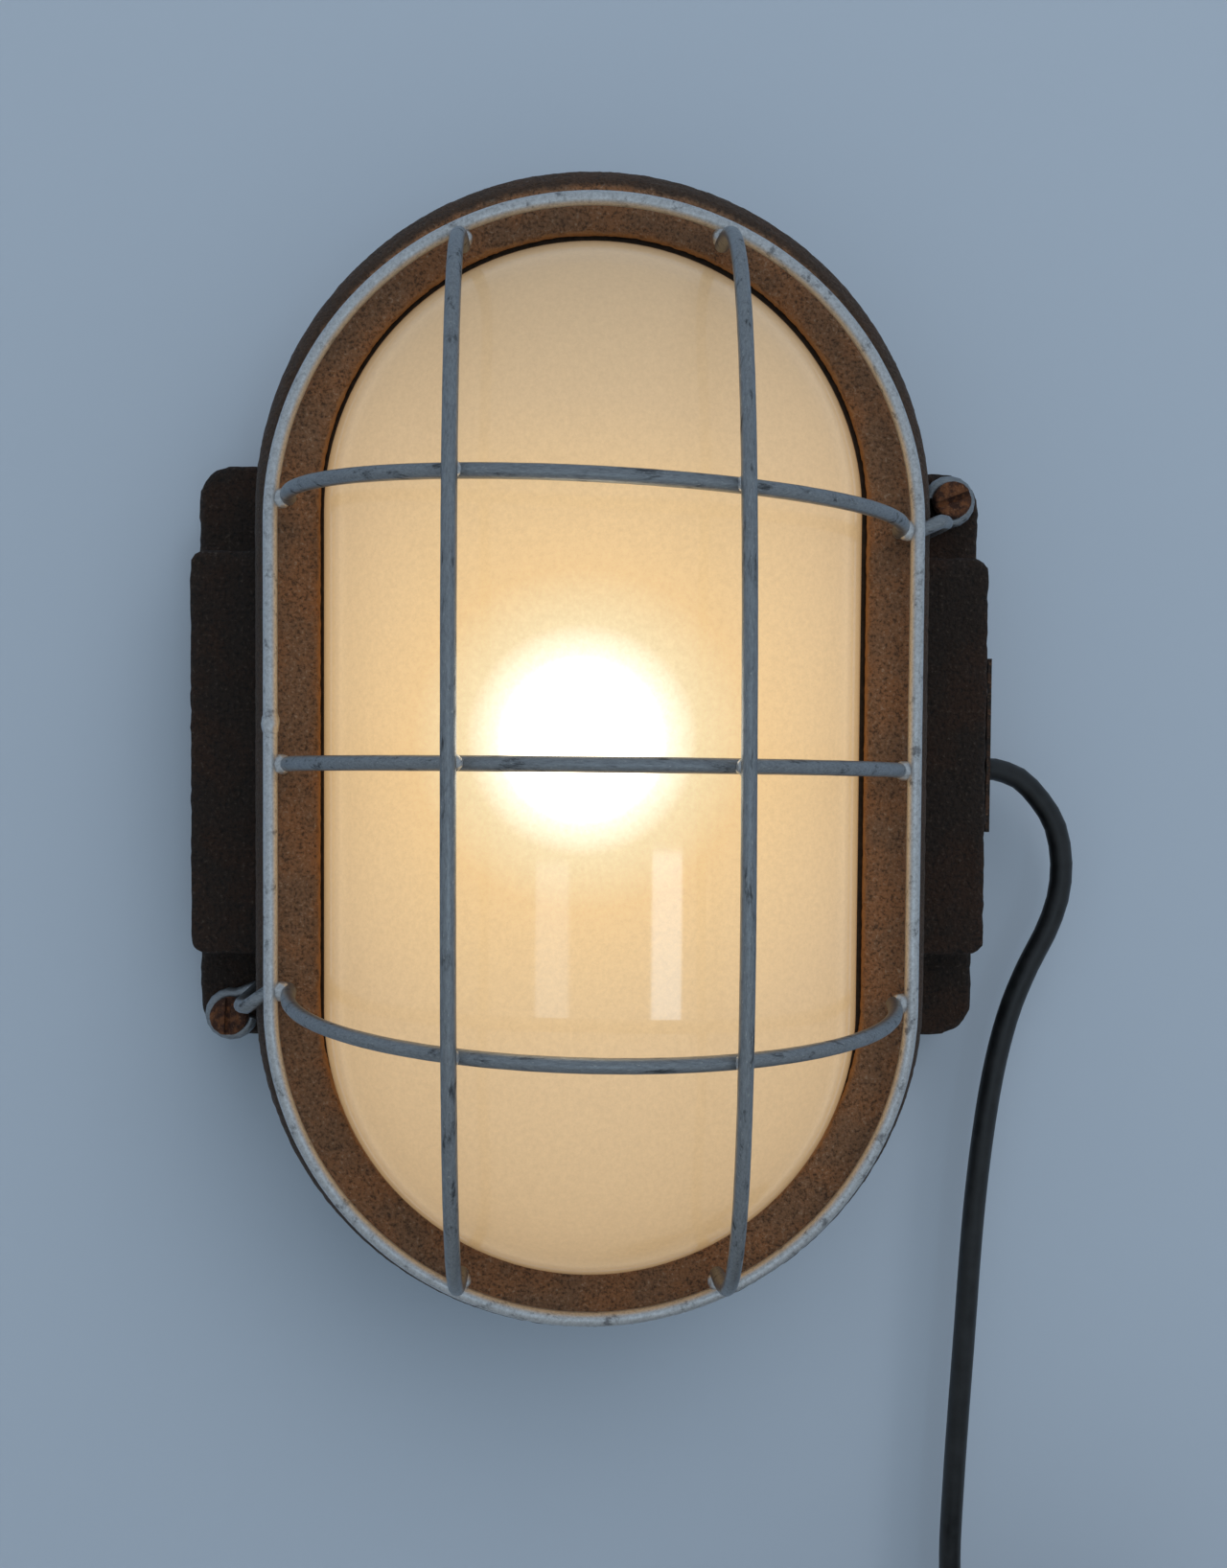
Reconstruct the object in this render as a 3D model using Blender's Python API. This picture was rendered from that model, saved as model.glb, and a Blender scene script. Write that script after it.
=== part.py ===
"""Oval cast-iron bulkhead lamp with a wire guard, as separate closed solids.

Metres, +Z up. The origin is the centre of the back face, the wall is the plane y = 0,
and the lamp faces -Y, so a smaller y is nearer to the viewer.
"""
from math import cos, pi, radians, sin, sqrt

import bmesh
import bpy
from mathutils import Vector

# Driving dimensions
GAP = 0.0003             # clearance between neighbouring pieces
ARC_STEPS = 14           # facets in each half-circle end of an oval
HALF = 0.058             # half of the body's straight side
FRAME_R = 0.0808         # outside of the front frame
BODY_R = 0.0725          # outside of the cast bowl
BOWL_R = 0.0668          # inside of the cast bowl
LIP_R = 0.0643           # inner edge of the front frame
POCKET_R = 0.0706        # seat in the frame for the glass flange
GLASS_R = 0.0627         # outside of the glass wall
GLASS_THICK = 0.0035
FLOOR_Y = -0.0055        # inside of the back wall
FLANGE_Y = -0.050        # front of the bowl's flange
FRAME_BACK_Y = -0.0530
FRAME_FACE_Y = -0.0620
LIP_BACK_Y = -0.0588
GLASS_FLANGE_Y = -0.0556  # front of the glass flange
DOME_BASE_Y = -0.0620
DOME_RISE = 0.0303
BLIND_Y = -0.0012        # blind bores from the front stop here, short of the wall

# Fixing ears on both sides of the body
EAR_X = 0.100
BLOCK_Z = 0.0505
BLOCK_Y = -0.040
LOBE_Z = 0.073
LOBE_Y = -0.028
LOBE_CORNER = 0.009
EAR_BACK_Y = -0.001

# Wire guard
WIRE_R = 0.00175
RING_R = 0.075
RING_HALF = 0.0556
RING_Z = -0.0018
RING_Y = -0.0682
BAR_END_R = 0.0707       # radius of the line on which the bars meet the ring
STUB_Y = -0.0641         # an anchoring bar passes behind the ring here
ACROSS_RISE = 0.0465
ACROSS_POWER = 2.0
UPRIGHT_RISE = 0.0478
UPRIGHT_POWER = 2.9
UPPER_END_Z = 0.0553     # the upper cross bar's anchored end, above the ring's centre
LOWER_END_Z = -0.0529    # the lower cross bar's anchored end
LEG_X = 0.0833
EYE_R = 0.005
EYE_Y = LOBE_Y - GAP - WIRE_R
UPPER_SCREW = (0.091, 0.065)
LOWER_SCREW = (-0.091, -0.0665)

# Lamp and lampholder, on one vertical axis
LAMP_Y = -0.043
GLOBE_Z = 0.003
GLOBE_R = 0.030
GLOBE_WALL = 0.0008
HOLDER_BASE_Z = -0.092
FOOT_TOP_Z = HOLDER_BASE_Z - GAP
PLATE_THICK = 0.002

# Small fasteners: (head radius, head height, shank radius)
M3 = (0.00275, 0.0018, 0.0014)
M4 = (0.0035, 0.0024, 0.0020)
M6 = (0.0050, 0.0040, 0.00275)
BORE_ROOM = 0.0004       # a bore is this much wider than its screw's shank
BRACKET_SCREWS = ((-0.0095, -0.1075), (0.0095, -0.1075))
HOLDER_SCREW_X = 0.010
CLAMP = (0.047, 0.040)
CLAMP_SCREW_X = 0.0085
BLOCK_SCREW_X = 0.0185
BLOCK_SCREW_Z = 0.081
TERMINAL_X = (-0.006, 0.006)
TERMINAL_SCREW_Z = (0.0765, 0.0855)
TERMINAL = ((-0.023, -0.0180, 0.072), (0.023, FLOOR_Y - GAP, 0.090))
TERMINAL_Y = -0.0115
EARTH = (-0.040, 0.055)
WALL_HOLES = ((-0.035, 0.088), (0.035, -0.088))
WALL_HOLE_R = 0.003

# Supply cord
CORD_R = 0.0029
CORE_R = 0.0010
ENTRY = (-0.020, -0.0035)            # y and z of the cable entry on the right ear
ENTRY_BORE_R = 0.0062
ENTRY_PLATE_X = (EAR_X + GAP, EAR_X + 0.0013)
ENTRY_PLATE_SCREW_Z = (0.0205, -0.0155)
GROMMET_X = (0.0640, 0.1045)
CORD_FLOOR_Z = -0.262
COIL = (0.132, -0.0568)
COIL_R = (0.0217, 0.0433)
COIL_Z = (CORD_FLOOR_Z + 0.0011, CORD_FLOOR_Z + 0.0133)
PLUG_X = 0.080
PLUG_Y = -0.090
PLUG_R = 0.0185
PLUG_LONG = 0.048
PIN_R = 0.0024
PIN_LONG = 0.019
PIN_SPREAD = 0.0095


def clear_scene():
    for item in list(bpy.data.objects):
        bpy.data.objects.remove(item, do_unlink=True)


def look(name, colour, roughness, metallic=0.0):
    """A Principled material in one plain colour."""
    material = bpy.data.materials.new(name)
    material.use_nodes = True
    shader = material.node_tree.nodes["Principled BSDF"]
    shader.inputs["Base Color"].default_value = (*colour, 1.0)
    shader.inputs["Roughness"].default_value = roughness
    shader.inputs["Metallic"].default_value = metallic
    return material


# Building blocks: each adds one closed body to a bmesh

def skin(bm, rings, closed):
    """Join rings of points with quads; open stacks get a flat cap at each end."""
    loops = [[bm.verts.new(point) for point in ring] for ring in rings]
    pairs = list(zip(loops, loops[1:]))
    if closed:
        pairs.append((loops[-1], loops[0]))
    count = len(loops[0])
    for first, second in pairs:
        for i in range(count):
            j = (i + 1) % count
            bm.faces.new((first[i], first[j], second[j], second[i]))
    if not closed:
        bm.faces.new(loops[0])
        bm.faces.new(loops[-1])


def oval_points(radius, half, y, centre_z=0.0, steps=ARC_STEPS):
    """An upright oval in the plane y: two half-circles joined by straight sides."""
    points = []
    for side, start in ((1, 0.0), (-1, pi)):
        for i in range(steps + 1):
            angle = start + pi * i / steps
            points.append(Vector((radius * cos(angle), y, centre_z + side * half + radius * sin(angle))))
    return points


def add_oval(bm, sections, closed=False):
    """A body whose sections are ovals, given as (radius, y) pairs."""
    skin(bm, [oval_points(radius, HALF, y) for radius, y in sections], closed)


def add_turned(bm, profile, origin, axis, segments=20, closed=False):
    """A body turned round an axis, given as (radius, height along the axis) pairs."""
    axis = Vector(axis).normalized()
    across = axis.orthogonal().normalized()
    beside = axis.cross(across)
    rings = []
    for radius, height in profile:
        ring = []
        for i in range(segments):
            angle = 2 * pi * i / segments
            outwards = across * cos(angle) + beside * sin(angle)
            ring.append(Vector(origin) + axis * height + radius * outwards)
        rings.append(ring)
    skin(bm, rings, closed)


def add_rod(bm, start, end, radius, segments=12):
    """A plain round rod between two points."""
    start = Vector(start)
    axis = Vector(end) - start
    add_turned(bm, ((radius, 0.0), (radius, axis.length)), start, axis, segments)


def add_box(bm, low, high):
    """A box from its lowest to its highest corner."""
    (x0, y0, z0), (x1, y1, z1) = low, high
    rings = [[(x0, y, z0), (x1, y, z0), (x1, y, z1), (x0, y, z1)] for y in (y0, y1)]
    skin(bm, rings, False)


def add_slab(bm, half_x, half_z, corner, sections, steps=4):
    """An upright slab with round corners; sections are (inset, y) pairs."""
    rings = []
    for inset, y in sections:
        ring = []
        for quarter in range(4):
            sign_x = 1 if quarter in (0, 3) else -1
            sign_z = 1 if quarter in (0, 1) else -1
            for i in range(steps + 1):
                angle = pi / 2 * (quarter + i / steps)
                x = sign_x * (half_x - corner) + (corner - inset) * cos(angle)
                z = sign_z * (half_z - corner) + (corner - inset) * sin(angle)
                ring.append((x, y, z))
        rings.append(ring)
    skin(bm, rings, False)


def add_screw(bm, seat, axis, size, shank):
    """A cheese-head screw: the head stands on seat along axis, the shank runs the other way."""
    head_r, head_high, shank_r = size
    profile = ((shank_r, -shank), (shank_r, 0.0), (head_r, 0.0), (head_r, head_high * 0.8),
               (head_r * 0.88, head_high))
    add_turned(bm, profile, seat, axis, 12 if head_r > 0.003 else 8)


# Turning a bmesh into a named object

def finish(name, bm, material, origin=(0.0, 0.0, 0.0), smooth=35.0):
    """Close a bmesh into an object with outward faces and its origin at the given point."""
    bmesh.ops.recalc_face_normals(bm, faces=bm.faces)
    bmesh.ops.translate(bm, verts=bm.verts, vec=-Vector(origin))
    mesh = bpy.data.meshes.new(name)
    bm.to_mesh(mesh)
    bm.free()
    item = bpy.data.objects.new(name, mesh)
    item.location = origin
    bpy.context.collection.objects.link(item)
    if material:
        mesh.materials.append(material)
    mesh.shade_smooth()
    mesh.set_sharp_from_angle(angle=radians(smooth))
    return item


def solid(name, material, add, *details, origin=(0.0, 0.0, 0.0), **options):
    """One object from one building block."""
    bm = bmesh.new()
    add(bm, *details, **options)
    return finish(name, bm, material, origin)


def combine(target, other, operation):
    """Unite with, or cut by, a helper solid that is then removed."""
    modifier = target.modifiers.new("shape", "BOOLEAN")
    modifier.operation = operation
    modifier.object = other
    bpy.context.view_layer.update()
    graph = bpy.context.evaluated_depsgraph_get()
    shaped = bpy.data.meshes.new_from_object(target.evaluated_get(graph))
    target.modifiers.clear()
    target.data = shaped
    bpy.data.objects.remove(other, do_unlink=True)


def cut_bores(target, bores):
    """Cut round bores, given as (start, end, radius)."""
    bm = bmesh.new()
    for start, end, radius in bores:
        add_rod(bm, start, end, radius)
    combine(target, finish("bores", bm, None), "DIFFERENCE")


def cut_slot(target, head, axis, across, size):
    """Cut a screwdriver slot in a screw head whose top is at the given point."""
    head_r, head_high, _ = size
    axis = Vector(axis)
    across = Vector(across).normalized() * head_r * 1.2
    beside = axis.cross(across).normalized() * head_r * 0.12
    rings = []
    for height in (-head_high / 2, head_high / 2):
        centre = Vector(head) + axis * height
        rings.append([centre + across + beside, centre - across + beside,
                      centre - across - beside, centre + across - beside])
    combine(target, solid("slot", None, skin, rings, False), "DIFFERENCE")


def curve_point(p0, p1, p2, p3, t):
    """A point between p1 and p2 on a smooth curve that also looks at its neighbours."""
    return 0.5 * (2 * p1 + (p2 - p0) * t + (2 * p0 - 5 * p1 + 4 * p2 - p3) * t ** 2
                  + (3 * p1 - p0 - 3 * p2 + p3) * t ** 3)


def smooth_points(route, spacing):
    """Evenly spaced points on a smooth curve through the route; its end legs stay straight."""
    knots = [Vector(point) for point in route]
    fine = []
    for i in range(1, len(knots) - 2):
        fine += [curve_point(*knots[i - 1:i + 3], step / 24) for step in range(24)]
    fine.append(knots[-2])
    total = sum((b - a).length for a, b in zip(fine, fine[1:]))
    pieces = max(2, round(total / spacing))
    points = [knots[0], fine[0]]
    walked = 0.0
    for a, b in zip(fine, fine[1:]):
        length = (b - a).length
        while len(points) <= pieces and walked + length >= total * (len(points) - 1) / pieces:
            reach = total * (len(points) - 1) / pieces - walked
            points.append(a.lerp(b, reach / length))
        walked += length
    return points + [fine[-1], knots[-1]]


def tube(name, points, radius, material, closed=False, resolution=2, origin=(0.0, 0.0, 0.0)):
    """A round wire or cord along points, with filled ends."""
    curve = bpy.data.curves.new(name, "CURVE")
    curve.dimensions = "3D"
    curve.fill_mode = "FULL"
    curve.bevel_depth = radius
    curve.bevel_resolution = resolution
    curve.use_fill_caps = not closed
    spline = curve.splines.new("POLY")
    spline.points.add(len(points) - 1)
    for knot, point in zip(spline.points, points):
        knot.co = (*(Vector(point) - Vector(origin)), 1.0)
    spline.use_cyclic_u = closed
    curve.materials.append(material)
    item = bpy.data.objects.new(name, curve)
    item.location = origin
    bpy.context.collection.objects.link(item)
    return item


# Cast body

def make_housing(material):
    """The cast bowl with its two ears, cored from behind and drilled for its screws."""
    outside = ((0.0665, 0.0), (0.0715, -0.004), (BODY_R, -0.0445), (FRAME_R - 0.0008, -0.0460),
               (FRAME_R - 0.0008, FLANGE_Y))
    housing = solid("housing", material, add_oval, outside)
    lobes = ((0.0, EAR_BACK_Y), (0.0, LOBE_Y + 0.0015), (0.0015, LOBE_Y))
    combine(housing, solid("lobes", None, add_slab, EAR_X, LOBE_Z, LOBE_CORNER, lobes), "UNION")
    blocks = ((0.0, EAR_BACK_Y - 0.001), (0.0, BLOCK_Y + 0.0015), (0.0015, BLOCK_Y))
    combine(housing, solid("blocks", None, add_slab, EAR_X, BLOCK_Z, 0.004, blocks), "UNION")
    hollow = ((BOWL_R, FLOOR_Y), (BOWL_R, FLANGE_Y - 0.01))
    combine(housing, solid("hollow", None, add_oval, hollow), "DIFFERENCE")
    bm = bmesh.new()
    for side in (-1, 1):
        xs = sorted((side * 0.0745, side * 0.0945))
        add_box(bm, (xs[0], -0.034, -0.044), (xs[1], 0.002, 0.044))
    combine(housing, finish("cores", bm, None), "DIFFERENCE")
    cut_bores(housing, housing_bores())
    return housing


def housing_bores():
    """Every drilled hole of the housing: cable entry, wall holes and screw holes."""
    entry_y, entry_z = ENTRY
    bores = [((0.060, entry_y, entry_z), (0.102, entry_y, entry_z), ENTRY_BORE_R)]
    for x, z in WALL_HOLES:
        bores.append(((x, 0.001, z), (x, FLOOR_Y - 0.001, z), WALL_HOLE_R))
    for x, z in (UPPER_SCREW, LOWER_SCREW):
        bores.append(((x, LOBE_Y - 0.001, z), (x, -0.010, z), M6[2] + BORE_ROOM))
    for x, z in BRACKET_SCREWS + (EARTH,):
        bores.append(((x, FLOOR_Y - 0.001, z), (x, BLIND_Y, z), M4[2] + BORE_ROOM))
    for side in (-1, 1):
        for x, z in ((CLAMP[0] + side * CLAMP_SCREW_X, CLAMP[1]), (side * BLOCK_SCREW_X, BLOCK_SCREW_Z)):
            bores.append(((x, FLOOR_Y - 0.001, z), (x, BLIND_Y, z), M3[2] + BORE_ROOM))
    for z in ENTRY_PLATE_SCREW_Z:
        bores.append(((EAR_X + 0.001, entry_y, z), (EAR_X - 0.0042, entry_y, z), M3[2] + BORE_ROOM))
    return bores


def make_front_frame(material):
    """The removable cast ring that holds the glass."""
    section = ((FRAME_R, FRAME_BACK_Y), (FRAME_R, -0.0560), (FRAME_R - 0.0010, -0.0590),
               (FRAME_R - 0.0032, -0.0612), (FRAME_R - 0.0060, FRAME_FACE_Y),
               (LIP_R + 0.0012, FRAME_FACE_Y), (LIP_R, FRAME_FACE_Y + 0.0010), (LIP_R, LIP_BACK_Y),
               (POCKET_R, LIP_BACK_Y), (POCKET_R, FRAME_BACK_Y))
    solid("front_frame", material, add_oval, section, closed=True)


def dome_section(radius, rise):
    """A quarter outline of the glass dome, from its foot to just short of its crown."""
    power = 2 / 2.6
    outline = []
    for degrees in (0, 18, 36, 52, 68, 82):
        angle = radians(degrees)
        outline.append((radius * cos(angle) ** power, DOME_BASE_Y - rise * sin(angle) ** power))
    return outline


def make_glass(material):
    """The domed glass, a shell with a flange that sits in the frame."""
    inner_r = GLASS_R - GLASS_THICK
    inside = dome_section(inner_r, DOME_RISE - GLASS_THICK)
    outside = dome_section(GLASS_R, DOME_RISE)
    flange_r = POCKET_R - 0.0004
    foot = [(inner_r, FRAME_BACK_Y), (flange_r, FRAME_BACK_Y)]
    foot += [(flange_r, GLASS_FLANGE_Y), (GLASS_R, GLASS_FLANGE_Y)]
    solid("glass", material, add_oval, inside[::-1] + foot + outside)


def make_seals(rubber):
    """The gasket behind the frame and the packing between the lip and the glass."""
    front, back = FRAME_BACK_Y + GAP, FLANGE_Y - GAP
    rim = ((0.0676, back), (0.0785, back), (0.0785, front), (0.0676, front))
    solid("rim_seal", rubber, add_oval, rim, closed=True)
    front, back = LIP_BACK_Y + GAP, GLASS_FLANGE_Y - GAP
    packing = ((GLASS_R + 0.0005, back), (0.0700, back), (0.0700, front), (GLASS_R + 0.0005, front))
    solid("glass_seal", rubber, add_oval, packing, closed=True)


# Wire guard

def bow_steps(count, power):
    """(position from -1 to 1, height from 0 to 1) pairs along a bowed bar."""
    steps = []
    for i in range(count + 1):
        angle = pi * i / count - pi / 2
        side = 1 if angle > 0 else -1
        steps.append((side * abs(sin(angle)) ** (2 / power), max(cos(angle), 0.0) ** (2 / power)))
    return steps


def across_points(left_z, bulge, right_z):
    """A bar that crosses the guard from left to right, bowed forwards, its middle raised by the bulge."""
    points = []
    for place, height in bow_steps(16, ACROSS_POWER):
        z = (left_z + right_z) / 2 + (right_z - left_z) / 2 * place + bulge * height
        points.append(Vector((BAR_END_R * place, RING_Y - ACROSS_RISE * height, RING_Z + z)))
    return points


def upright_points(low_x, bulge, high_x):
    """A bar that crosses the guard from bottom to top, in front of the others."""
    points = []
    for place, height in bow_steps(16, UPRIGHT_POWER):
        x = (low_x + high_x) / 2 + (high_x - low_x) / 2 * place + bulge * height
        end_x = high_x if place > 0 else low_x
        reach = RING_HALF + sqrt(BAR_END_R ** 2 - end_x ** 2)
        points.append(Vector((x, RING_Y - UPRIGHT_RISE * height, RING_Z + reach * place)))
    return points


def anchor_points(side, ring_z, leg_z, screw):
    """The end of an anchoring bar: behind the ring, back along a leg, and round its screw."""
    route = [(0.0712, RING_Y + 0.0026, ring_z), (0.0727, STUB_Y - 0.0002, ring_z), (RING_R, STUB_Y, ring_z),
             (0.0790, STUB_Y, ring_z * 0.4 + leg_z * 0.6), (0.0815, STUB_Y + 0.0004, leg_z),
             (0.0828, STUB_Y + 0.0019, leg_z), (LEG_X, STUB_Y + 0.0050, leg_z),
             (LEG_X, (STUB_Y + EYE_Y) / 2, leg_z), (LEG_X, EYE_Y - 0.0050, leg_z),
             (LEG_X + 0.0007, EYE_Y - 0.0013, leg_z + 0.0004)]
    centre_x, centre_z = abs(screw[0]), abs(screw[1])
    for i in range(14):
        angle = radians(-105 + 21.3 * i)
        route.append((centre_x + EYE_R * cos(angle), EYE_Y, centre_z + EYE_R * sin(angle)))
    return [Vector((side * x, y, side * z)) for x, y, z in route]


def make_guard(wire):
    """The ring, two upright bars in front and three cross bars behind them."""
    ring = oval_points(RING_R, RING_HALF, RING_Y, RING_Z)
    tube("guard_ring", ring, WIRE_R, wire, closed=True)
    tube("guard_bar_left", upright_points(-0.0306, -0.0004, -0.0310), WIRE_R, wire)
    tube("guard_bar_right", upright_points(0.0297, 0.0014, 0.0286), WIRE_R, wire)
    tube("guard_bar_middle", across_points(0.0, 0.0021, -0.0007), WIRE_R, wire)
    upper = across_points(0.0612, 0.0028, UPPER_END_Z)
    upper += anchor_points(1, RING_Z + UPPER_END_Z, 0.0562, UPPER_SCREW)
    tube("guard_bar_upper", upper, WIRE_R, wire)
    lower = across_points(LOWER_END_Z, -0.0065, -0.0556)[::-1]
    lower += anchor_points(-1, -(RING_Z + LOWER_END_Z), 0.0590, LOWER_SCREW)
    tube("guard_bar_lower", lower, WIRE_R, wire)


def make_guard_screws(steel):
    """The two screws that clamp the guard's eyes to the ears."""
    seat_y = EYE_Y - WIRE_R - GAP
    for name, (x, z), tilt in (("upper_screw", UPPER_SCREW, 21), ("lower_screw", LOWER_SCREW, 88)):
        origin = (x, seat_y, z)
        screw = solid(name, steel, add_screw, origin, (0, -1, 0), M6, 0.018, origin=origin)
        across = (cos(radians(tilt)), 0, sin(radians(tilt)))
        cut_slot(screw, (x, seat_y - M6[1], z), (0, -1, 0), across, M6)


# Lampholder and lamp

def make_holder(porcelain, brass, steel):
    """The lampholder on its bracket, with the brass parts inside it."""
    axis_point = (0.0, LAMP_Y, 0.0)
    section = ((0.0205, HOLDER_BASE_Z), (0.0205, -0.058), (0.0190, -0.052), (0.0152, -0.052),
               (0.0146, -0.054), (0.0146, -0.080))
    body = solid("lampholder_body", porcelain, add_turned, section, axis_point, (0, 0, 1), 24)
    sleeve = ((0.0134, -0.0790), (0.0142, -0.0790), (0.0142, -0.0535), (0.0134, -0.0535))
    solid("lampholder_sleeve", brass, add_turned, sleeve, axis_point, (0, 0, 1), 24, True)
    contact = ((-0.003, LAMP_Y - 0.006, -0.0797), (0.003, LAMP_Y + 0.004, -0.0757))
    solid("lampholder_contact", brass, add_box, *contact)
    bracket = make_bracket(steel)
    bores = []
    for side in (-1, 1):
        x = side * HOLDER_SCREW_X
        bores.append(((x, LAMP_Y, -0.097), (x, LAMP_Y, -0.0830), M3[2] + BORE_ROOM))
    cut_bores(body, bores)
    for x, z in BRACKET_SCREWS:
        bores.append(((x, -0.010, z), (x, -0.004, z), M4[2] + BORE_ROOM))
    cut_bores(bracket, bores)


def make_bracket(steel):
    """An angle of sheet steel: one leg on the bowl's floor, the other under the lampholder."""
    low_z, foot_low_z = -0.1185, FOOT_TOP_Z - PLATE_THICK
    back_y, tip_y = FLOOR_Y - GAP, -0.060
    outline = ((back_y, low_z), (back_y, FOOT_TOP_Z), (tip_y, FOOT_TOP_Z), (tip_y, foot_low_z),
               (back_y - PLATE_THICK, foot_low_z), (back_y - PLATE_THICK, low_z))
    rings = [[(x, y, z) for y, z in outline] for x in (-0.0155, 0.0155)]
    return solid("lampholder_bracket", steel, skin, rings, False)


def slotted_screws(name, material, seats, axis, across, size, shank):
    """Identical slotted screws, one object each."""
    for number, seat in enumerate(seats, 1):
        screw = solid(f"{name}_{number}", material, add_screw, seat, axis, size, shank)
        cut_slot(screw, Vector(seat) + Vector(axis) * size[1], axis, across, size)


def make_small_screws(steel, brass):
    """The fasteners inside the bowl and those of the entry plate."""
    on_plate = FLOOR_Y - 2 * GAP - PLATE_THICK
    seats = [(x, on_plate, z) for x, z in BRACKET_SCREWS]
    slotted_screws("bracket_screw", steel, seats, (0, -1, 0), (1, 0, 0.3), M4, 0.0060)
    under_foot = FOOT_TOP_Z - PLATE_THICK - GAP
    seats = [(side * HOLDER_SCREW_X, LAMP_Y, under_foot) for side in (-1, 1)]
    slotted_screws("lampholder_screw", steel, seats, (0, 0, -1), (1, 0.4, 0), M3, 0.0100)
    on_clamp = FLOOR_Y - 2 * GAP - 0.0012
    seats = [(CLAMP[0] + side * CLAMP_SCREW_X, on_clamp, CLAMP[1]) for side in (-1, 1)]
    slotted_screws("cord_clamp_screw", steel, seats, (0, -1, 0), (1, 0, 1), M3, 0.0050)
    on_block = TERMINAL[0][1] - GAP
    seats = [(side * BLOCK_SCREW_X, on_block, BLOCK_SCREW_Z) for side in (-1, 1)]
    slotted_screws("terminal_block_screw", steel, seats, (0, -1, 0), (0.2, 0, 1), M3, 0.0165)
    seats = [(ENTRY_PLATE_X[1] + GAP, ENTRY[0], z) for z in ENTRY_PLATE_SCREW_Z]
    slotted_screws("entry_plate_screw", steel, seats, (1, 0, 0), (0, 1, 0.2), M3, 0.0048)
    seats = [(EARTH[0], FLOOR_Y - 2 * GAP - 0.0010, EARTH[1])]
    slotted_screws("earth_screw", brass, seats, (0, -1, 0), (1, 0, 0.6), M4, 0.0048)


def globe_section(shrink):
    """The lamp's glass outline from its crown to its neck, made smaller by shrink."""
    outline = []
    for degrees in (82, 58, 34, 10, -14, -34, -50):
        angle = radians(degrees)
        outline.append(((GLOBE_R - shrink) * cos(angle), GLOBE_Z + (GLOBE_R - shrink) * sin(angle)))
    neck = ((0.0160, -0.0275), (0.0138, -0.0360), (0.0128, -0.0440), (0.0126, -0.0500))
    return outline + [(radius - shrink, z) for radius, z in neck]


def make_lamp(glass, brass, dark, tungsten):
    """The screw-in lamp; every piece has its origin on the axis it turns about."""
    axis_point = (0.0, LAMP_Y, 0.0)
    globe = globe_section(0.0) + globe_section(GLOBE_WALL)[::-1]
    pieces = {
        "bulb_globe": (glass, globe),
        "bulb_stem": (glass, ((0.0075, -0.0498), (0.0060, -0.044), (0.0030, -0.036), (0.0025, -0.012))),
        "bulb_cap": (brass, ((0.0126, -0.0503), (0.0130, -0.0520), (0.0130, -0.0690), (0.0090, -0.0722))),
        "bulb_insulator": (dark, ((0.0085, -0.0725), (0.0060, -0.0738))),
        "bulb_contact": (brass, ((0.0050, -0.0741), (0.0045, -0.0752))),
    }
    for name, (material, section) in pieces.items():
        solid(name, material, add_turned, section, axis_point, (0, 0, 1), 16, origin=axis_point)
    arch = ((-0.0125, LAMP_Y, -0.0030), (-0.0120, LAMP_Y, -0.0020), (-0.0060, LAMP_Y, 0.0040),
            (0.0, LAMP_Y, 0.0010), (0.0060, LAMP_Y, 0.0040), (0.0120, LAMP_Y, -0.0020),
            (0.0125, LAMP_Y, -0.0030))
    tube("bulb_filament", smooth_points(arch, 0.004), 0.0004, tungsten, origin=axis_point)


# Wiring inside the bowl

def make_terminals(porcelain, brass, steel):
    """A two-way terminal block with its inserts and clamping screws."""
    block = solid("terminal_block", porcelain, add_box, *TERMINAL)
    bores = []
    for x in TERMINAL_X:
        bores.append(((x, TERMINAL_Y, 0.070), (x, TERMINAL_Y, 0.092), 0.0026))
    for side in (-1, 1):
        x = side * BLOCK_SCREW_X
        bores.append(((x, -0.020, BLOCK_SCREW_Z), (x, -0.004, BLOCK_SCREW_Z), M3[2] + BORE_ROOM))
    cut_bores(block, bores)
    crossing = [(x, z) for x in TERMINAL_X for z in TERMINAL_SCREW_Z]
    cut_bores(block, [((x, -0.020, z), (x, TERMINAL_Y, z), 0.0019) for x, z in crossing])
    for way, x in enumerate(TERMINAL_X, 1):
        ends = ((x, TERMINAL_Y, 0.0735), (x, TERMINAL_Y, 0.0885))
        solid(f"terminal_insert_{way}", brass, add_rod, *ends, 0.0021)
        for side, z in zip(("low", "high"), TERMINAL_SCREW_Z):
            ends = ((x, -0.0178, z), (x, -0.0140, z))
            solid(f"terminal_screw_{side}_{way}", steel, add_rod, *ends, 0.0014, 8)


def clamp_outline():
    """The cord clamp's strap seen along the cord: two feet and a round saddle."""
    centre_x, centre_y = CLAMP[0], FLOOR_Y - GAP - CORD_R
    foot_y = FLOOR_Y - GAP
    inner, outer, reach = CORD_R + GAP, CORD_R + GAP + 0.0012, 0.0125
    angles = [pi * i / 8 for i in range(9)]
    inside = [(centre_x - inner * cos(a), centre_y - inner * sin(a)) for a in angles]
    outside = [(centre_x + outer * cos(a), centre_y - outer * sin(a)) for a in angles]
    feet_back = [(centre_x - reach, foot_y), (centre_x - inner, foot_y)]
    right_foot = [(centre_x + inner, foot_y), (centre_x + reach, foot_y),
                  (centre_x + reach, foot_y - 0.0012), (centre_x + outer, foot_y - 0.0012)]
    left_foot = [(centre_x - outer, foot_y - 0.0012), (centre_x - reach, foot_y - 0.0012)]
    return feet_back + inside + right_foot + outside + left_foot


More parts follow.
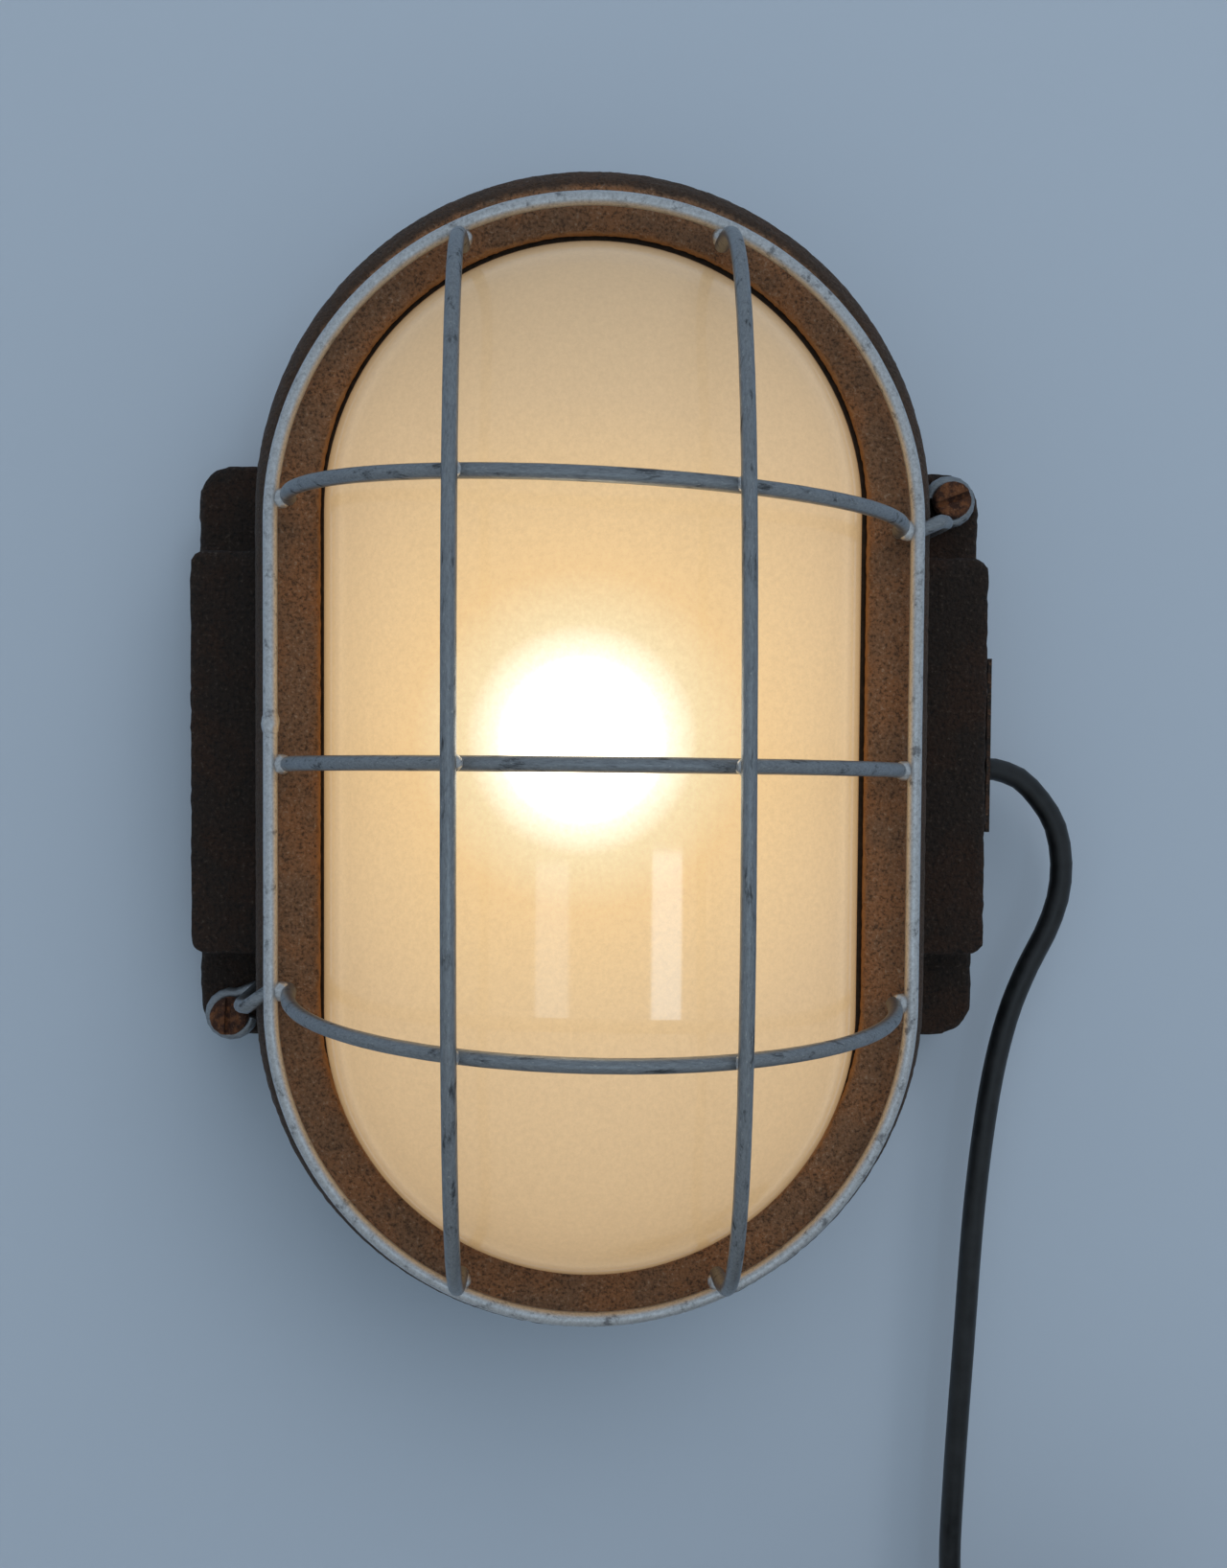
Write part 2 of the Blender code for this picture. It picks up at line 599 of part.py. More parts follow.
def make_clamp(steel):
    """The saddle that holds the cord to the bowl's floor."""
    rings = [[(x, y, z) for x, y in clamp_outline()] for z in (CLAMP[1] - 0.004, CLAMP[1] + 0.004)]
    clamp = solid("cord_clamp", steel, skin, rings, False)
    bores = []
    for side in (-1, 1):
        x = CLAMP[0] + side * CLAMP_SCREW_X
        bores.append(((x, -0.010, CLAMP[1]), (x, -0.004, CLAMP[1]), M3[2] + BORE_ROOM))
    cut_bores(clamp, bores)


def make_inner_wires(jacket, brown, blue, green, sleeve, brass):
    """The cord's inner end, its three cores, and the two wires to the lampholder."""
    clamp_y = FLOOR_Y - GAP - CORD_R
    inner = ((GROMMET_X[0] - GAP, *ENTRY), (0.0620, *ENTRY), (0.0560, -0.0175, 0.0000),
             (0.0490, -0.0110, 0.0140), (CLAMP[0], clamp_y, 0.0280), (CLAMP[0], clamp_y, 0.0530))
    tube("cord_inner_end", smooth_points(inner, 0.006), CORD_R, jacket)
    top_z, bend_z = 0.0533, 0.0550
    enter_z, leave_z = 0.0732, 0.0888
    side_x = -0.0208
    live_x, neutral_x, earth_x = CLAMP[0] + 0.0013, CLAMP[0] - 0.0013, CLAMP[0]
    core_y, low_core_y = clamp_y + 0.0007, clamp_y - 0.0016
    wires = {
        "mains_live_wire": (brown, (
            (live_x, core_y, top_z), (live_x, core_y, bend_z), (0.0420, -0.0090, 0.0625),
            (0.0280, -0.0100, 0.0660), (0.0120, -0.0112, 0.0668), (0.0060, TERMINAL_Y, 0.0712),
            (0.0060, TERMINAL_Y, enter_z))),
        "mains_neutral_wire": (blue, (
            (neutral_x, core_y, top_z), (neutral_x, core_y, bend_z), (0.0380, -0.0085, 0.0590),
            (0.0200, -0.0095, 0.0625), (0.0010, -0.0108, 0.0650), (-0.0060, TERMINAL_Y, 0.0705),
            (-0.0060, TERMINAL_Y, enter_z))),
        "mains_earth_wire": (green, (
            (earth_x, low_core_y, top_z), (earth_x, low_core_y, bend_z), (0.0380, -0.0130, 0.0580),
            (0.0150, -0.0125, 0.0575), (-0.0150, -0.0085, 0.0562), (-0.0320, -0.0069, EARTH[1]),
            (-0.0346, -0.0069, EARTH[1]))),
        "lamp_live_wire": (sleeve, (
            (0.0060, TERMINAL_Y, leave_z), (0.0060, TERMINAL_Y, 0.0915), (-0.0020, -0.0120, 0.1020),
            (-0.0200, -0.0120, 0.1050), (-0.0420, -0.0110, 0.0930), (-0.0560, -0.0100, 0.0660),
            (-0.0600, -0.0095, 0.0300), (-0.0600, -0.0095, -0.0200), (-0.0560, -0.0100, -0.0560),
            (-0.0420, -0.0180, -0.0800), (-0.0300, -0.0380, -0.0865), (side_x - 0.003, LAMP_Y, -0.0870),
            (side_x, LAMP_Y, -0.0870))),
        "lamp_neutral_wire": (sleeve, (
            (-0.0060, TERMINAL_Y, leave_z), (-0.0060, TERMINAL_Y, 0.0915), (-0.0110, -0.0120, 0.0970),
            (-0.0220, -0.0120, 0.0980), (-0.0380, -0.0110, 0.0860), (-0.0510, -0.0100, 0.0620),
            (-0.0550, -0.0095, 0.0300), (-0.0550, -0.0095, -0.0200), (-0.0510, -0.0100, -0.0520),
            (-0.0390, -0.0180, -0.0720), (-0.0300, -0.0380, -0.0790), (side_x - 0.003, LAMP_Y, -0.0800),
            (side_x, LAMP_Y, -0.0800))),
    }
    for name, (material, route) in wires.items():
        tube(name, smooth_points(route, 0.011), CORE_R, material)
    tag = ((0.0024, 0.0), (0.0046, 0.0), (0.0046, 0.0010), (0.0024, 0.0010))
    seat = (EARTH[0], FLOOR_Y - GAP, EARTH[1])
    solid("earth_tag", brass, add_turned, tag, seat, (0, -1, 0), 16, True)


# Cable entry, cord and plug

def make_entry(steel, rubber):
    """The thin plate over the cable entry and the tapered grommet moulded on the cord."""
    (plate_in, plate_out), (y, z) = ENTRY_PLATE_X, ENTRY
    plate = solid("entry_plate", steel, add_box, (plate_in, -0.036, -0.019), (plate_out, -0.004, 0.025))
    bores = [((0.098, y, z), (0.104, y, z), ENTRY_BORE_R)]
    for screw_z in ENTRY_PLATE_SCREW_Z:
        bores.append(((0.098, y, screw_z), (0.104, y, screw_z), M3[2] + BORE_ROOM))
    cut_bores(plate, bores)
    inner_x, outer_x = GROMMET_X
    section = ((0.0042, inner_x), (0.0046, inner_x + 0.001), (0.0055, 0.0995), (0.0055, 0.1022),
               (0.0047, 0.1034), (0.0038, outer_x))
    solid("cable_grommet", rubber, add_turned, section, (0.0, y, z), (1, 0, 0), 16)


def make_cord(jacket):
    """The supply cord: out of the ear, down to the floor, a coil, and a short lead to the plug."""
    y, z = ENTRY
    hanging = ((GROMMET_X[1] + GAP, y, z), (0.1065, y, z), (0.1130, y, -0.0058), (0.1188, -0.0198, -0.0115),
               (0.1232, -0.0195, -0.0187), (0.1251, -0.0190, -0.0283), (0.1244, -0.0185, -0.0379),
               (0.1213, -0.0180, -0.0472), (0.1170, -0.0175, -0.0560), (0.1118, -0.0170, -0.0700),
               (0.1075, -0.0167, -0.0900), (0.1040, -0.0165, -0.1200), (0.1015, -0.0165, -0.1600),
               (0.0995, -0.0165, -0.1950), (0.0988, -0.0165, -0.2200), (0.1010, -0.0165, -0.2350),
               (0.1055, -0.0165, -0.2450), (0.1070, -0.0165, -0.2470))
    tube("supply_cord", smooth_points(hanging, 0.0125), CORD_R, jacket)
    (inner, outer), (low, high) = COIL_R, COIL_Z
    ease = 0.0025
    section = ((inner, low + ease), (inner + ease, low), (outer - ease, low), (outer, low + ease),
               (outer, high - ease), (outer - ease, high), (inner + ease, high), (inner, high - ease))
    solid("cord_coil", jacket, add_turned, section, (*COIL, 0.0), (0, 0, 1), 24, True)
    plug_z = CORD_FLOOR_Z + PLUG_R + 0.0001
    lead = ((0.1085, -0.0968, CORD_FLOOR_Z + 0.0116), (0.1065, -0.0966, CORD_FLOOR_Z + 0.0122),
            (0.0980, -0.0942, CORD_FLOOR_Z + 0.0155), (0.0900, -0.0910, plug_z - 0.0008),
            (PLUG_X + 0.0030, PLUG_Y, plug_z), (PLUG_X + GAP, PLUG_Y, plug_z))
    tube("plug_lead", smooth_points(lead, 0.006), CORD_R, jacket)


def make_tie(strap):
    """The strap that holds the coil's turns together."""
    middle = (COIL_R[0] + COIL_R[1]) / 2
    half_wide = (COIL_R[1] - COIL_R[0]) / 2 + 3 * GAP
    low, high = COIL_Z[0] - GAP, COIL_Z[1] + GAP
    rings = []
    for along, grow in ((-0.003, 0.0), (-0.003, 0.0007), (0.003, 0.0007), (0.003, 0.0)):
        x0, x1 = COIL[0] + middle - half_wide - grow, COIL[0] + middle + half_wide + grow
        y = COIL[1] + along
        rings.append([(x0, y, low - grow), (x1, y, low - grow), (x1, y, high + grow), (x0, y, high + grow)])
    solid("cord_tie", strap, skin, rings, True)


def make_plug(plastic, brass):
    """A round two-pin plug lying beside the coil."""
    centre_z = CORD_FLOOR_Z + PLUG_R + 0.0001
    section = ((0.0042, 0.0), (0.0058, 0.010), (0.0090, 0.016), (0.0150, 0.022), (0.0178, 0.028),
               (PLUG_R, 0.034), (PLUG_R, PLUG_LONG))
    solid("plug_body", plastic, add_turned, section, (PLUG_X, PLUG_Y, centre_z), (-1, 0, 0), 20)
    face_x = PLUG_X - PLUG_LONG - GAP
    section = ((PIN_R, 0.0), (PIN_R, PIN_LONG - 0.0015), (PIN_R * 0.5, PIN_LONG))
    for number, side in enumerate((-1, 1), 1):
        base = (face_x, PLUG_Y + side * PIN_SPREAD, centre_z)
        solid(f"plug_pin_{number}", brass, add_turned, section, base, (-1, 0, 0), 12)


def main():
    clear_scene()
    iron = look("cast_iron", (0.070, 0.046, 0.030), 0.85, 0.2)
    wire = look("galvanised_wire", (0.36, 0.38, 0.40), 0.45, 0.9)
    steel = look("rusty_steel", (0.20, 0.11, 0.06), 0.70, 0.5)
    plated = look("plated_steel", (0.48, 0.48, 0.46), 0.40, 0.9)
    brass = look("brass", (0.62, 0.47, 0.20), 0.35, 0.9)
    rubber = look("black_rubber", (0.020, 0.020, 0.020), 0.75)
    jacket = look("black_jacket", (0.012, 0.013, 0.014), 0.45)
    glass = look("frosted_glass", (0.86, 0.80, 0.70), 0.35)
    globe = look("lamp_glass", (0.95, 0.93, 0.88), 0.20)
    porcelain = look("porcelain", (0.80, 0.78, 0.72), 0.25)
    tungsten = look("tungsten", (0.30, 0.29, 0.28), 0.40, 1.0)
    brown = look("brown_core", (0.16, 0.07, 0.03), 0.50)
    blue = look("blue_core", (0.03, 0.12, 0.38), 0.50)
    green = look("green_core", (0.10, 0.32, 0.08), 0.50)
    sleeve = look("white_sleeve", (0.70, 0.68, 0.62), 0.80)
    make_housing(iron)
    make_front_frame(iron)
    make_glass(glass)
    make_seals(rubber)
    make_guard(wire)
    make_guard_screws(steel)
    make_holder(porcelain, brass, plated)
    make_lamp(globe, brass, rubber, tungsten)
    make_terminals(porcelain, brass, plated)
    make_clamp(plated)
    make_inner_wires(jacket, brown, blue, green, sleeve, brass)
    make_small_screws(plated, brass)
    make_entry(steel, rubber)
    make_cord(jacket)
    make_tie(jacket)
    make_plug(jacket, brass)


main()
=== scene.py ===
# %% [markdown]
# # An oval cast-iron bulkhead lamp with a wire guard
# The lamp hangs on a wall with its light on. A cast-iron bowl carries a cast front ring, the ring
# holds a frosted glass dome, and a cage of galvanised wire keeps knocks off the glass. A black
# lead leaves on the right. The solid frame is already packed, so this file gives each visible
# piece its finer shape and its finish, and it reads every place from that frame.

import math

import bpy
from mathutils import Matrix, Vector


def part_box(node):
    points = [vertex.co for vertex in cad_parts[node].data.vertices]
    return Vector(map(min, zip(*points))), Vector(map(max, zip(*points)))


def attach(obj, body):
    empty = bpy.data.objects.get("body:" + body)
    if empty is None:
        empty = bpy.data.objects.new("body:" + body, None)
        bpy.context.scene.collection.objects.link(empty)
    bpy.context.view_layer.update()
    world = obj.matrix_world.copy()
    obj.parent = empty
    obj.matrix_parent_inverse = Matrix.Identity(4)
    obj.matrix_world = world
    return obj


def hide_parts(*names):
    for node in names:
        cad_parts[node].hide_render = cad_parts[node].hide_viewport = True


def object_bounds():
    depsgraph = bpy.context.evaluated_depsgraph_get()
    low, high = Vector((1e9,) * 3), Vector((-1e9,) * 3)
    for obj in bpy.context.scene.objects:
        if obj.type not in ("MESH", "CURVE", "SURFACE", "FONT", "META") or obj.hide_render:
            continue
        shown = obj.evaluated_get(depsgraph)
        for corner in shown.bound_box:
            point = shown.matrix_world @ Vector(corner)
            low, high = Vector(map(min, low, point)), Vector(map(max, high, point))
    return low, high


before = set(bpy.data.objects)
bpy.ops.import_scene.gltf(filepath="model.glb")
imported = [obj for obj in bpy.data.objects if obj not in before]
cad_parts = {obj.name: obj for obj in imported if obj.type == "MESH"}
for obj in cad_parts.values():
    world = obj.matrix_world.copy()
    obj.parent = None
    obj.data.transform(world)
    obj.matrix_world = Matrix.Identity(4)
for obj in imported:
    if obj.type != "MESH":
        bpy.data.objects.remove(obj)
cad_low, cad_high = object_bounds()
scene = bpy.context.scene
scene.view_settings.view_transform = "Standard"
print("frame box", [round(v, 4) for v in (*cad_low, *cad_high)])

# %% [markdown]
# ## The viewpoint
# The camera stands a little above the lamp's middle and about forty centimetres in front of the
# guard, turned slightly to the right and down. Everything is measured from the guard ring, so
# the view follows the lamp if its size is ever changed.

# %% Camera
ring_low, ring_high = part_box("guard_ring")
ring_centre = (ring_low + ring_high) / 2

camera_data = bpy.data.cameras.new("camera")
camera_data.lens = 39.17
camera_data.sensor_width = 36
camera_data.clip_start = 0.01
camera = bpy.data.objects.new("camera", camera_data)
camera.location = ring_centre + Vector((-0.0104, -0.3970, 0.0121))
camera.rotation_euler = (math.pi / 2 - 0.0409, -0.0069, -0.0370)
scene.collection.objects.link(camera)
scene.camera = camera
print("camera", [round(v, 4) for v in camera.location])

# %% [markdown]
# ## The lead
# A rubber lead a little thinner than a pencil leaves the grommet, turns down beside the ear and
# hangs to the floor, where the rest lies in a tied coil with the plug by it. It is one curve: points
# listed where it hangs, and a loop for the turns. A smooth curve is read through the points,
# because straight runs with rounded corners would look like bent wire.

# %% Helpers for lines in space
def curve_point(a, b, c, d, t):
    """A point between b and c on the smooth curve that also heeds a and d."""
    return 0.5 * (
        2 * b + (c - a) * t + (2 * a - 5 * b + 4 * c - d) * t**2 + (3 * b - a - 3 * c + d) * t**3
    )


def smooth_line(points, spacing):
    """Points about `spacing` apart on the smooth curve through the given ones."""
    knots = [Vector(p) for p in points]
    knots = [2 * knots[0] - knots[1], *knots, 2 * knots[-1] - knots[-2]]
    line = []
    for a, b, c, d in zip(knots, knots[1:], knots[2:], knots[3:]):
        count = max(1, round((c - b).length / spacing))
        line += [curve_point(a, b, c, d, i / count) for i in range(count)]
    return [*line, knots[-2]]


def line_length(points):
    return sum((Vector(b) - Vector(a)).length for a, b in zip(points, points[1:]))


def select_only(piece):
    """Selects one piece and makes it the active one."""
    bpy.ops.object.select_all(action="DESELECT")
    bpy.context.view_layer.objects.active = piece
    piece.select_set(True)


def round_wire(name, points, radius, sides=6):
    """A round wire along the points: a curve with a bevel, made a mesh."""
    curve = bpy.data.curves.new(name, "CURVE")
    curve.dimensions = "3D"
    curve.bevel_depth = radius
    curve.bevel_resolution = sides
    curve.render_resolution_u = curve.resolution_u
    curve.use_fill_caps = True
    spline = curve.splines.new("POLY")
    spline.points.add(len(points) - 1)
    for place, point in zip(spline.points, points):
        place.co = (*point, 1)
    made = bpy.data.objects.new(name, curve)
    scene.collection.objects.link(made)
    select_only(made)
    bpy.ops.object.convert(target="MESH")
    bpy.ops.object.mode_set(mode="EDIT")
    bpy.ops.mesh.select_all(action="SELECT")
    bpy.ops.mesh.remove_doubles(threshold=0.00001)
    bpy.ops.mesh.normals_make_consistent(inside=False)
    bpy.ops.object.mode_set(mode="OBJECT")
    bpy.ops.object.shade_smooth_by_angle(angle=math.radians(60))
    return bpy.context.object


# %% The lead's route
CORD_DIAMETER = 0.0058
hanging_route = [
    (0.1048, -0.0200, -0.0035),
    (0.1065, -0.0200, -0.0035),
    (0.1130, -0.0200, -0.0058),
    (0.1188, -0.0198, -0.0115),
    (0.1232, -0.0195, -0.0187),
    (0.1251, -0.0190, -0.0283),
    (0.1244, -0.0185, -0.0379),
    (0.1213, -0.0180, -0.0472),
    (0.1170, -0.0175, -0.0560),
    (0.1118, -0.0170, -0.0700),
    (0.1075, -0.0167, -0.0900),
    (0.1040, -0.0165, -0.1200),
    (0.1015, -0.0165, -0.1600),
    (0.0995, -0.0165, -0.1950),
    (0.0988, -0.0165, -0.2200),
    (0.1010, -0.0165, -0.2350),
    (0.1055, -0.0165, -0.2450),
]
plug_route = [
    (0.1085, -0.0968, -0.2504),
    (0.1065, -0.0966, -0.2498),
    (0.0980, -0.0942, -0.2465),
    (0.0900, -0.0910, -0.2442),
    (0.0830, -0.0900, -0.2434),
    (0.0803, -0.0900, -0.2434),
]

coil_low, coil_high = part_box("cord_coil")
coil_centre = (coil_low + coil_high) / 2
outer_turn = (coil_high.x - coil_low.x) / 2 - CORD_DIAMETER / 2 - 0.0002
TURNS = 2.5
inner_turn = outer_turn - TURNS * (CORD_DIAMETER + 0.0004)
lower_z = coil_low.z + CORD_DIAMETER / 2 + 0.0002
upper_z = coil_high.z - CORD_DIAMETER / 2 - 0.0002
print("turn radii", round(inner_turn, 4), round(outer_turn, 4))


def coil_points():
    """A layer wound inwards on the floor, then a second one wound outwards on top of it."""
    points = []
    steps = 36
    layer = int(TURNS * steps)
    rise = steps // 2
    for i in range(2 * layer + rise + 1):
        angle = math.pi / 2 - 2 * math.pi * i / steps
        if i <= layer:
            share, height = i / layer, 0
        elif i < layer + rise:
            share, height = 1, (i - layer) / rise
        else:
            share, height = 1 - (i - layer - rise) / layer, 1
        radius = outer_turn + (inner_turn - outer_turn) * share
        ease = height * height * (3 - 2 * height)
        points.append(
            (
                coil_centre.x + radius * math.cos(angle),
                coil_centre.y + radius * math.sin(angle),
                lower_z + (upper_z - lower_z) * ease,
            )
        )
    return points


coil = coil_points()
cord_line = smooth_line([*hanging_route, *coil[3::3], *plug_route], 0.004)
print("lead", round(line_length(cord_line), 3), "m")
print("coil ends", [round(v, 4) for v in coil[0]], [round(v, 4) for v in coil[-1]])

# %% Make the lead
lead = round_wire("lead", cord_line, CORD_DIAMETER / 2)
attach(lead, "body")
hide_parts("supply_cord", "cord_coil", "plug_lead")

# %% [markdown]
# ## Helpers for finishes
# Every finish is built from the same few kinds of shader node, so one helper adds a node with its
# settings and its inputs, and a second one starts a material with a Principled shader. Constants
# such as roughness of an even surface sit on the shader's own sockets.

# %% Shader helpers
def add(tree, kind, inputs=None, **settings):
    """One node; an input is a value, or another node's socket to link from."""
    made = tree.nodes.new(kind)
    for name, value in settings.items():
        setattr(made, name, value)
    for socket, value in (inputs or {}).items():
        if isinstance(value, bpy.types.NodeSocket):
            tree.links.new(value, made.inputs[socket])
        else:
            made.inputs[socket].default_value = value
    return made


def ramp(tree, factor, stops):
    """A colour ramp; each stop is (position, colour)."""
    made = add(tree, "ShaderNodeValToRGB", {"Fac": factor})
    while len(made.color_ramp.elements) < len(stops):
        made.color_ramp.elements.new(0.5)
    for element, (position, colour) in zip(made.color_ramp.elements, stops):
        element.position = position
        element.color = (*colour, 1)
    return made.outputs["Color"]


def blend(tree, factor, first, second, kind="MIX"):
    """Mixes two colours."""
    made = add(tree, "ShaderNodeMix", data_type="RGBA", blend_type=kind)
    for place, value in ((0, factor), (6, first), (7, second)):
        if isinstance(value, bpy.types.NodeSocket):
            tree.links.new(value, made.inputs[place])
        elif place:
            made.inputs[place].default_value = (*value, 1)
        else:
            made.inputs[place].default_value = value
    return made.outputs[2]


def sum_of(tree, kind, *values):
    """A Math node over one, two or three values."""
    made = add(tree, "ShaderNodeMath", operation=kind)
    for place, value in enumerate(values):
        if isinstance(value, bpy.types.NodeSocket):
            tree.links.new(value, made.inputs[place])
        else:
            made.inputs[place].default_value = value
    return made.outputs[0]


def between(tree, value, low, high):
    """0 below `low`, 1 above `high`, with a soft step between."""
    made = add(
        tree,
        "ShaderNodeMapRange",
        {"Value": value, "From Min": low, "From Max": high},
        interpolation_type="SMOOTHSTEP",
    )
    return made.outputs["Result"]


def noise(tree, place, scale, detail, roughness=0.5):
    """Soft noise around a half; a larger scale makes it finer."""
    inputs = {"Vector": place, "Scale": scale, "Detail": detail, "Roughness": roughness}
    return add(tree, "ShaderNodeTexNoise", inputs).outputs["Fac"]


def rough_link(tree, shader, value, low, high, rough_low, rough_high):
    """Makes the shader's roughness follow a value, from rough_low at `low` to rough_high."""
    made = add(
        tree,
        "ShaderNodeMapRange",
        {"Value": value, "From Min": low, "From Max": high, "To Min": rough_low, "To Max": rough_high},
    )
    tree.links.new(made.outputs["Result"], shader.inputs["Roughness"])


def new_material(name, colour, roughness, metallic=0.0, **more):
    """A material with a Principled shader; returns it with its tree and shader."""
    made = bpy.data.materials.new(name)
    made.use_nodes = True
    shader = made.node_tree.nodes["Principled BSDF"]
    shader.inputs["Base Color"].default_value = (*colour, 1)
    shader.inputs["Roughness"].default_value = roughness
    shader.inputs["Metallic"].default_value = metallic
    for socket, value in more.items():
        shader.inputs[socket.replace("_", " ").title()].default_value = value
    made.diffuse_color = (*colour, 1)
    return made, made.node_tree, shader


def place_of(tree, centre=(0, 0, 0), stretch=(1, 1, 1)):
    """The point on the object, measured from `centre` and stretched, as a vector."""
    where = add(tree, "ShaderNodeTexCoord")
    moved = add(
        tree,
        "ShaderNodeMapping",
        {"Vector": where.outputs["Object"], "Location": tuple(-c * s for c, s in zip(centre, stretch))},
    )
    moved.inputs["Scale"].default_value = stretch
    return moved.outputs["Vector"]


def new_group(name, inputs, outputs):
    """An empty node group with its sockets; returns it with its input and output nodes."""
    group = bpy.data.node_groups.new(name, "ShaderNodeTree")
    for label, kind, value in inputs:
        socket = group.interface.new_socket(label, in_out="INPUT", socket_type=kind)
        if value is not None:
            socket.default_value = value
    for label, kind in outputs:
        group.interface.new_socket(label, in_out="OUTPUT", socket_type=kind)
    return group, group.nodes.new("NodeGroupInput"), group.nodes.new("NodeGroupOutput")


# %% [markdown]
# ## The grain of weathered iron
# Sand-cast iron is lumpy: the sand leaves grains about a millimetre wide and broad soft waves
# between them, and rust adds fine pits. One group gives that relief and two masks from it: the
# raised grains that wear bright, and the patches where rust has taken hold. Cast iron and rusty
# steel both use it with their own sizes.

# %% Group: iron grain
grain_group, given, result = new_group(
    "iron grain",
    [
        ("Place", "NodeSocketVector", None),
        ("Grain Size", "NodeSocketFloat", 0.0011),
        ("Patch Size", "NodeSocketFloat", 0.012),
    ],
    [("Height", "NodeSocketFloat"), ("Specks", "NodeSocketFloat"), ("Patches", "NodeSocketFloat")],
)
grain_scale = sum_of(grain_group, "DIVIDE", 1.0, given.outputs["Grain Size"])
patch_scale = sum_of(grain_group, "DIVIDE", 1.0, given.outputs["Patch Size"])
lumps = noise(grain_group, given.outputs["Place"], grain_scale, 5.0, 0.62)
pits = add(
    grain_group,
    "ShaderNodeTexVoronoi",
    {"Vector": given.outputs["Place"], "Scale": grain_scale, "Randomness": 1.0},
    feature="SMOOTH_F1",
)
patches = noise(grain_group, given.outputs["Place"], patch_scale, 6.0, 0.6)
relief = sum_of(grain_group, "MULTIPLY_ADD", pits.outputs["Distance"], 0.35, lumps)
grain_group.links.new(relief, result.inputs["Height"])
grain_group.links.new(between(grain_group, lumps, 0.56, 0.74), result.inputs["Specks"])
grain_group.links.new(between(grain_group, patches, 0.42, 0.62), result.inputs["Patches"])


def use_grain(tree, place, grain_size, patch_size):
    """The iron grain group inside a material's tree."""
    made = add(tree, "ShaderNodeGroup", node_tree=grain_group)
    tree.links.new(place, made.inputs["Place"])
    made.inputs["Grain Size"].default_value = grain_size
    made.inputs["Patch Size"].default_value = patch_size
    return made.outputs


def bump(tree, shader, height, distance, strength=1.0):
    """Feeds a height in metres of relief to the shader's normal."""
    made = add(tree, "ShaderNodeBump", {"Height": height, "Distance": distance, "Strength": strength})
    tree.links.new(made.outputs["Normal"], shader.inputs["Normal"])


# %% [markdown]
# ## Cast iron
# The casting was once painted; what is left is a dark brown skin with rust showing through and
# small bright grains where hands and weather rubbed it. The front ring is browner and drier than
# the bowl behind it, and its colours are also made several times paler, which paints on it the
# dome's warm glow; so the same finish is made twice with its own colours.

# %% Cast iron
def cast_iron(name, deep, brown, rust, speck, roughness, grain_size):
    """Weathered cast iron in four colours, from the pits to the worn grains."""
    made, tree, shader = new_material(name, brown, roughness)
    place = place_of(tree)
    grain = use_grain(tree, place, grain_size, 0.016)
    colour = blend(tree, sum_of(tree, "MULTIPLY", grain["Patches"], 0.6), brown, rust)
    fine = noise(tree, place, 1 / grain_size, 5.0, 0.75)
    pitted = between(tree, fine, 0.52, 0.36)
    colour = blend(tree, sum_of(tree, "MULTIPLY", pitted, 0.85), colour, deep)
    colour = blend(tree, sum_of(tree, "MULTIPLY", grain["Specks"], 0.55), colour, speck)
    tree.links.new(colour, shader.inputs["Base Color"])
    rough_link(tree, shader, grain["Specks"], 0.0, 1.0, roughness + 0.08, roughness - 0.22)
    bump(tree, shader, grain["Height"], 0.0013, 1.0)
    return made


# Painted light: the ring's colours are several times paler than the bowl's, partly a browner iron and
# partly the dome's warm glow painted in.
ring_iron_glow_painted = cast_iron(
    "ring iron, brightened by painted glow",
    deep=(0.055, 0.029, 0.015),
    brown=(0.265, 0.138, 0.070),
    rust=(0.400, 0.165, 0.060),
    speck=(0.55, 0.42, 0.29),
    roughness=0.62,
    grain_size=0.00085,
)
bowl_iron = cast_iron(
    "bowl iron",
    deep=(0.006, 0.004, 0.003),
    brown=(0.024, 0.014, 0.009),
    rust=(0.044, 0.018, 0.008),
    speck=(0.100, 0.074, 0.052),
    roughness=0.74,
    grain_size=0.00110,
)
print("cast iron finishes", ring_iron_glow_painted.name, bowl_iron.name)

# %% [markdown]
# ## Distance round an oval
# The bowl, the ring and the dome are ovals: two half circles joined by straight sides. The rust on
# the lip, and the painted glow and shade that follow such an edge, need the distance from the oval's
# spine, the short upright line that the half circles turn about. This group gives that distance, so
# a band at any distance runs evenly all the way round.

# %% Group: oval distance
frame_low, frame_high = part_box("front_frame")
HALF = (frame_high.z - frame_low.z - frame_high.x + frame_low.x) / 2
print("half of the straight side", round(HALF, 4))

oval_group, given, result = new_group(
    "oval distance", [("Place", "NodeSocketVector", None)], [("Distance", "NodeSocketFloat")]
)
parts = add(oval_group, "ShaderNodeSeparateXYZ", {"Vector": given.outputs["Place"]})
past_end = sum_of(
    oval_group,
    "MAXIMUM",
    sum_of(oval_group, "SUBTRACT", sum_of(oval_group, "ABSOLUTE", parts.outputs["Z"]), HALF),
    0.0,
)
squares = sum_of(
    oval_group,
    "ADD",
    sum_of(oval_group, "MULTIPLY", parts.outputs["X"], parts.outputs["X"]),
    sum_of(oval_group, "MULTIPLY", past_end, past_end),
)
oval_group.links.new(sum_of(oval_group, "SQRT", squares), result.inputs["Distance"])


def oval_distance(tree, place):
    made = add(tree, "ShaderNodeGroup", node_tree=oval_group)
    tree.links.new(place, made.inputs["Place"])
    return made.outputs["Distance"]
